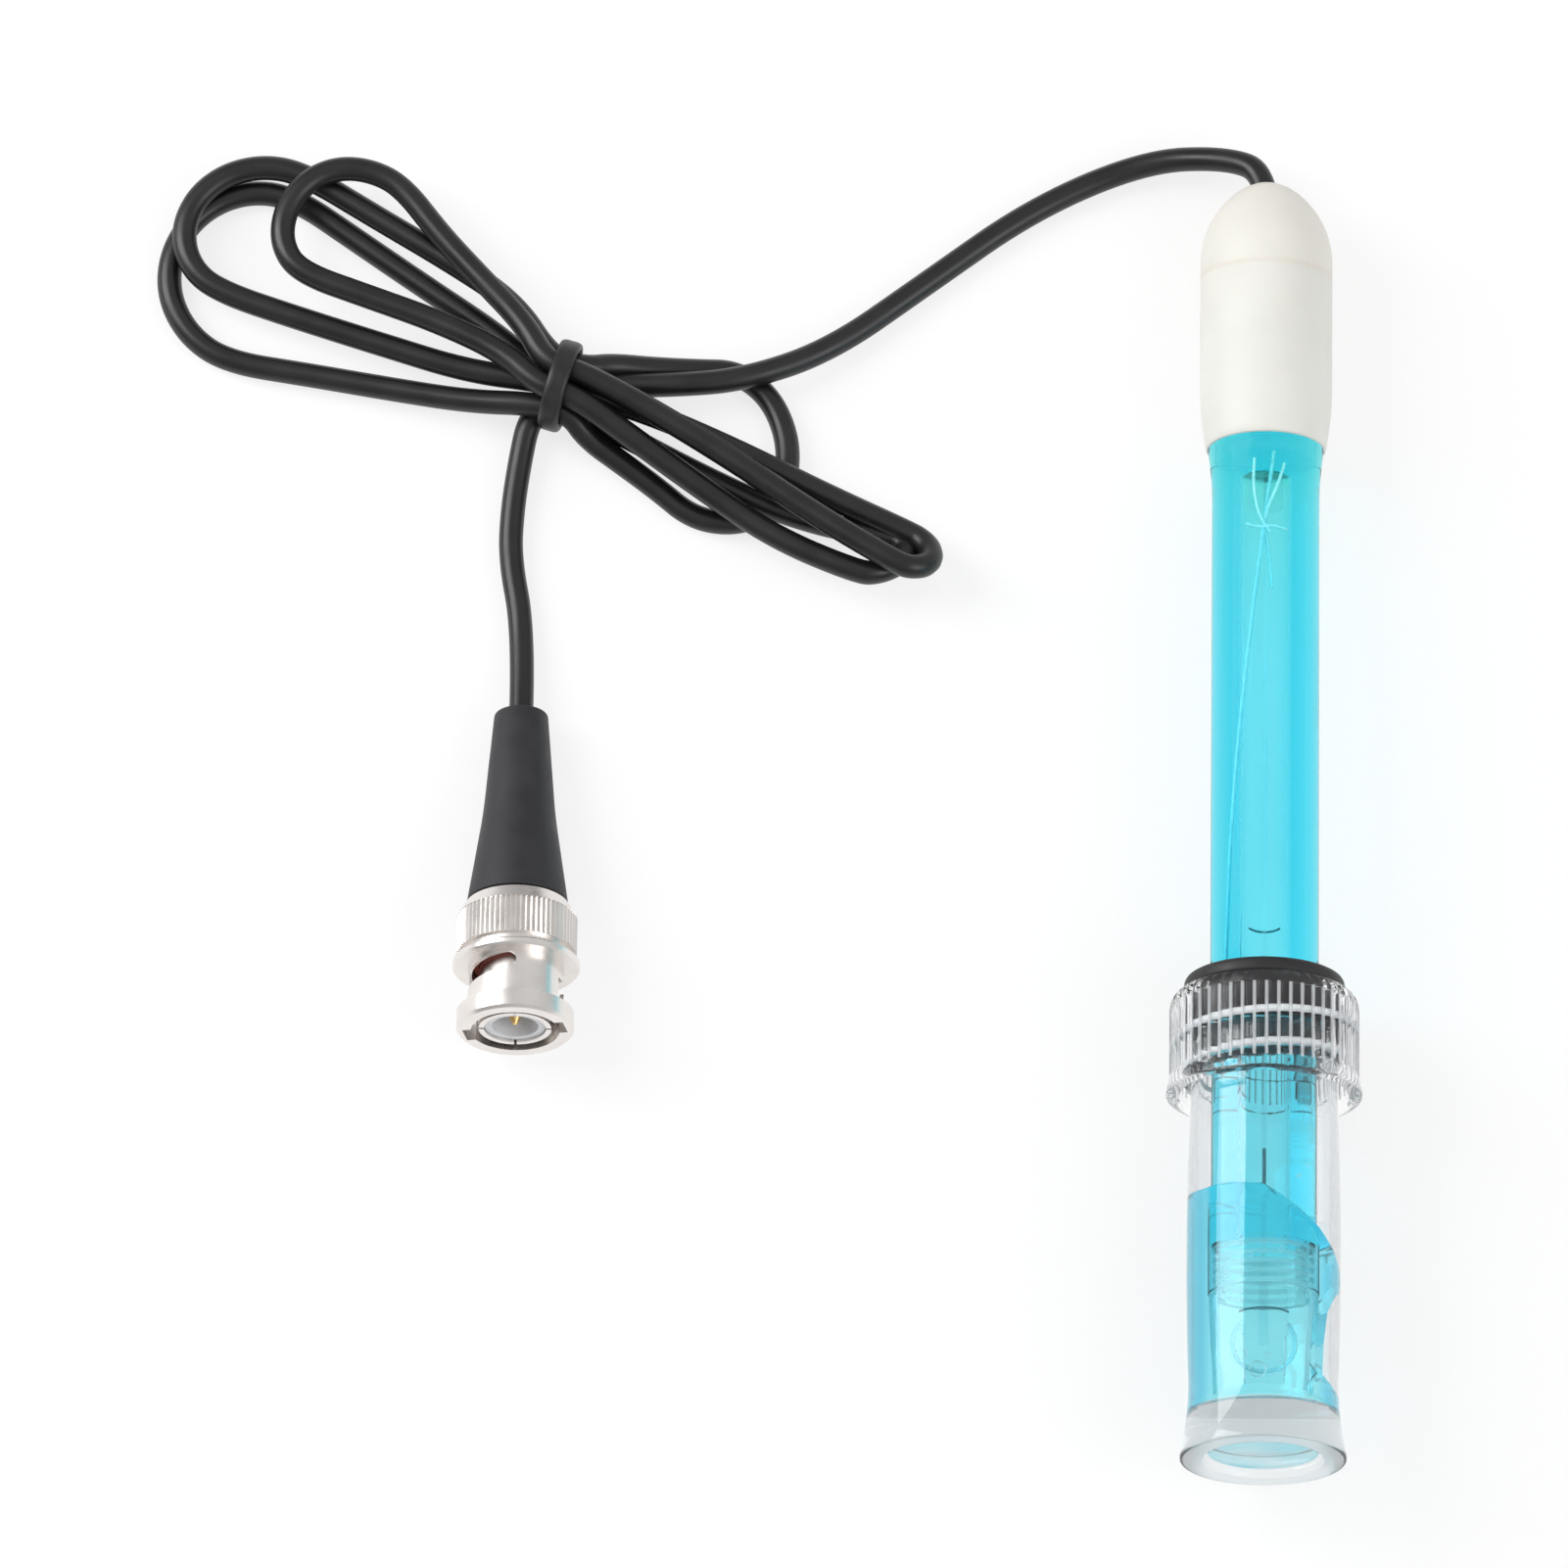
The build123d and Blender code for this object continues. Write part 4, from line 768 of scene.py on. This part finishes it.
# tip guard: ridged spigot, band and prongs cut by slots, as a shell of even wall
guard = {
    "joint": 131.0, "band": 133.0, "radius": 5.7, "tip": 142.5, "tipRadius": 5.15, "wall": 0.6,
    "segments": 144, "steps": 26, "slots": 4, "slotRoot": 137.1, "slotWidth": 3.6,
    "spigot": 5.4, "ridges": 5, "ridgePitch": 1.1, "ridgeDepth": 0.3,
}
rows = []
for k in range(guard["ridges"]):
    start = guard["joint"] - (guard["ridges"] - k) * guard["ridgePitch"]
    rows += [(start, guard["spigot"] - guard["ridgeDepth"]), (start + guard["ridgePitch"] / 2, guard["spigot"])]
rows += [(guard["joint"], guard["spigot"] - guard["ridgeDepth"]), (guard["joint"] + 0.05, guard["radius"])]
for k in range(guard["steps"] + 1):
    share = k / guard["steps"]
    station = guard["band"] + (guard["tip"] - guard["band"]) * share
    rows.append((station, guard["radius"] + (guard["tipRadius"] - guard["radius"]) * share))
guardMesh = turnedMesh("tipGuard", rows, guard["segments"])
work = bmesh.new()
work.from_mesh(guardMesh)
gone = []
for face in work.faces:
    middle = face.calc_center_median() / mm
    flat = middle.xy
    angle = (flat.angle_signed(Vector((1, 0))) / (2 * pi) * guard["slots"]) % 1.0
    reach = abs(angle - 0.5) / guard["slots"] * 2 * pi * flat.length
    drop = min(middle.z - guard["slotRoot"], 0.0)
    if reach ** 2 + drop ** 2 < (guard["slotWidth"] / 2) ** 2:
        gone.append(face)
bmesh.ops.delete(work, geom=gone, context="FACES")
work.to_mesh(guardMesh)
work.free()
holder = bpy.data.objects.new("guardHolder", guardMesh)
scene.collection.objects.link(holder)
wall = holder.modifiers.new("wall", "SOLIDIFY")
wall.thickness, wall.offset = guard["wall"] * mm, -1.0
guardMesh = bpy.data.meshes.new_from_object(holder.evaluated_get(bpy.context.evaluated_depsgraph_get()))
guardMesh.name = "tipGuard"
holder.modifiers.remove(wall)
bpy.data.objects.remove(holder)
addPiece("tipGuard", guardMesh, "blueGuard", "electrode", ["tip_guard"], probeFrame)

# pale beads on the threads of neck and cap: a painted highlight where the threads catch the light through the cap
bead = {"size": 0.42, "lead": 4.0, "turns": 0.9, "taper": 8, "blunt": 0.05, "steps": 90, "sides": 10}
threads = {
    "neckThread": {"body": "bottle", "slot": "clear_bottle", "front": 104.05, "radius": 8.35},
    "capThread": {"body": "cap", "slot": "clear_cap", "front": 100.65, "radius": 9.5},
}
for name, thread in threads.items():
    points, faces = [], []
    for k in range(bead["steps"] + 1):
        share = k / bead["steps"]
        angle = pi / 2 + 2 * pi * bead["turns"] * (share - 0.5)
        fade = min(1.0, bead["taper"] * share + bead["blunt"], bead["taper"] * (1 - share) + bead["blunt"])
        size = bead["size"] * fade
        station = thread["front"] + bead["lead"] * bead["turns"] * (share - 0.5)
        for j in range(bead["sides"]):
            side = 2 * pi * j / bead["sides"]
            radius = thread["radius"] - bead["size"] * (1 - fade) + size * cos(side)
            points.append((radius * cos(angle) * mm, radius * sin(angle) * mm, (station + size * sin(side)) * mm))
    for k in range(bead["steps"]):
        a, b = k * bead["sides"], (k + 1) * bead["sides"]
        for j in range(bead["sides"]):
            n = (j + 1) % bead["sides"]
            faces.append((a + j, b + j, b + n, a + n))
    last = bead["steps"] * bead["sides"]
    faces += [tuple(range(bead["sides"])), tuple(range(last, last + bead["sides"]))]
    beadMesh = bpy.data.meshes.new(name)
    beadMesh.from_pydata(points, [], faces)
    addPiece(name, cleanMesh(beadMesh), "threadGlintFilm", thread["body"], (), probeFrame)

# bubbles in the liquid: angle, station, distance from the axis and radius
bubbles = [(97, 141.4, 6.3, 0.95), (112, 139.6, 6.6, 0.7), (88, 139.9, 6.7, 0.35), (75, 127.6, 6.9, 0.3),
           (60, 119.0, 7.2, 0.22), (52, 117.6, 7.2, 0.16), (70, 136.4, 6.9, 0.22), (104, 128.4, 6.9, 0.35)]
work = bmesh.new()
for angle, station, distance, radius in bubbles:
    place = Matrix.Translation((distance * cos(radians(angle)) * mm, distance * sin(radians(angle)) * mm, station * mm))
    bmesh.ops.create_icosphere(work, subdivisions=3, radius=radius * mm, matrix=place)
bubbleMesh = bpy.data.meshes.new("airBubbles")
work.to_mesh(bubbleMesh)
work.free()
addPiece("airBubbles", bubbleMesh, "bulbGlass", "bottle", (), probeFrame)


# fine strands inside the tube, points in station, across and height
def roundEdge(station, radius, first, last, step=20):
    return [(station, radius * cos(radians(a)), radius * sin(radians(a))) for a in range(first, last + 1, step)]


strandRoundness = 3
strands = {
    "looseWires": {"finish": "whiteWire", "radius": 0.17, "lines": [
        [(34.5, 1.9, 3.8), (37.0, 1.3, 4.2), (39.5, 0.2, 4.0), (42.0, -0.4, 3.6), (44.0, 0.2, 3.2), (49.0, 0.6, 2.8)],
        [(34.0, -1.3, 4.0), (36.5, -1.5, 4.3), (39.0, -1.2, 4.3), (41.2, -0.7, 4.0), (42.6, 0.4, 3.6)],
        [(41.6, -2.1, 3.4), (42.2, -0.8, 3.8), (41.8, 0.8, 3.8), (42.3, 2.2, 3.4)]]},
    "gelEdge": {"finish": "darkEdge", "radius": 0.13, "lines": [roundEdge(88.0, 1.8, 200, 340)]},
    "wireTip": {"finish": "darkEdge", "radius": 0.2, "lines": [
        [(114.2, 0.0, 0.5), (117.0, 0.05, 0.5), (119.6, 0.0, 0.5)]]},
    "bulbEdge": {"finish": "darkEdge", "radius": 0.12, "lines": [roundEdge(133.2, 2.7, 20, 160)]},
}
for name, strand in strands.items():
    strandCurve = bpy.data.curves.new(name, "CURVE")
    strandCurve.dimensions = "3D"
    strandCurve.bevel_depth = strand["radius"] * mm
    strandCurve.bevel_resolution = strandRoundness
    for points in strand["lines"]:
        line = strandCurve.splines.new("NURBS")
        line.points.add(len(points) - 1)
        for point, (station, across, height) in zip(line.points, points):
            point.co = (*(probeFrame @ (Vector((across, height, station)) * mm)), 1.0)
        line.order_u = 3
        line.use_endpoint_u = True
    holder = bpy.data.objects.new(name + "Holder", strandCurve)
    scene.collection.objects.link(holder)
    strandMesh = bpy.data.meshes.new_from_object(holder.evaluated_get(bpy.context.evaluated_depsgraph_get()))
    strandMesh.name = name
    bpy.data.objects.remove(holder)
    addPiece(name, strandMesh, strand["finish"], "electrode")
print("inner pieces set")

# boot: rubber, drawn in to the cable
boot = {
    "front": 15.5, "frontRadius": 5.65, "middle": 26.5, "middleRadius": 4.03, "tail": 38.9, "tailRadius": 3.0,
    "hole": 1.5, "pocket": 4.3, "pocketDepth": 2.0,
}
pocketEnd = boot["front"] + boot["pocketDepth"]
rows = [(boot["front"], boot["pocket"]), (boot["front"], boot["frontRadius"], 0.3),
        (boot["middle"], boot["middleRadius"], 2.0), (boot["tail"], boot["tailRadius"], 0.35),
        (boot["tail"], boot["hole"], 0.1), (pocketEnd, boot["hole"]), (pocketEnd, boot["pocket"])]
addPiece("plugBoot", turnedMesh("plugBoot", softCorners(rows), 96, closed=True), "bootRubber",
         "electrode", ["plug_boot"], plugFrame, 35)

# tie: a rubber band round the bundle, a little hollow along its middle
tie = {"inner": 4.45, "outer": 5.3, "edge": 0.15, "width": 2.4, "hollow": 0.1, "steps": 16}
rows = []
for k in range(tie["steps"] + 1):
    angle = pi - pi * k / tie["steps"]
    crown = sin(angle) ** 0.5 - tie["hollow"] * sin(angle) ** 8
    radius = tie["inner"] + tie["edge"] + (tie["outer"] - tie["inner"] - tie["edge"]) * crown
    rows.append((tie["width"] / 2 * cos(angle), radius))
rows += [(tie["width"] / 2 - 0.1, tie["inner"]), (-tie["width"] / 2 + 0.1, tie["inner"])]
tieFrame = Matrix((tieSide, Vector((0, 0, 1)), -tieAhead)).transposed().to_4x4()
tieFrame.translation = tiePlace * mm
addPiece("cableTie", turnedMesh("cableTie", rows, 80, closed=True), "tieRubber",
         "electrode", ["cable_tie"], tieFrame, 60)
print("boot and tie set")

# carried-over CAD nodes and their finishes
carried = {
    "head_potting": "pottingResin", "tube_stopper": "stopperPlastic", "reference_junction": "junctionCeramic",
    "stem_plug": "plugSilicone", "inner_wire": "paleWire", "reference_wire": "blueWire",
    "coupling_nut": "nickel", "spring_washer": "silverWire", "plug_body": "nickel", "crimp_ferrule": "nickel",
    "plug_dielectric": "whiteDielectric", "center_pin": "goldPin", "face_gasket": "gasketSilicone",
}
for name, finish in carried.items():
    nodes[name].data.materials.clear()
    nodes[name].data.materials.append(finishes[finish])
print("carried nodes:", len(carried))
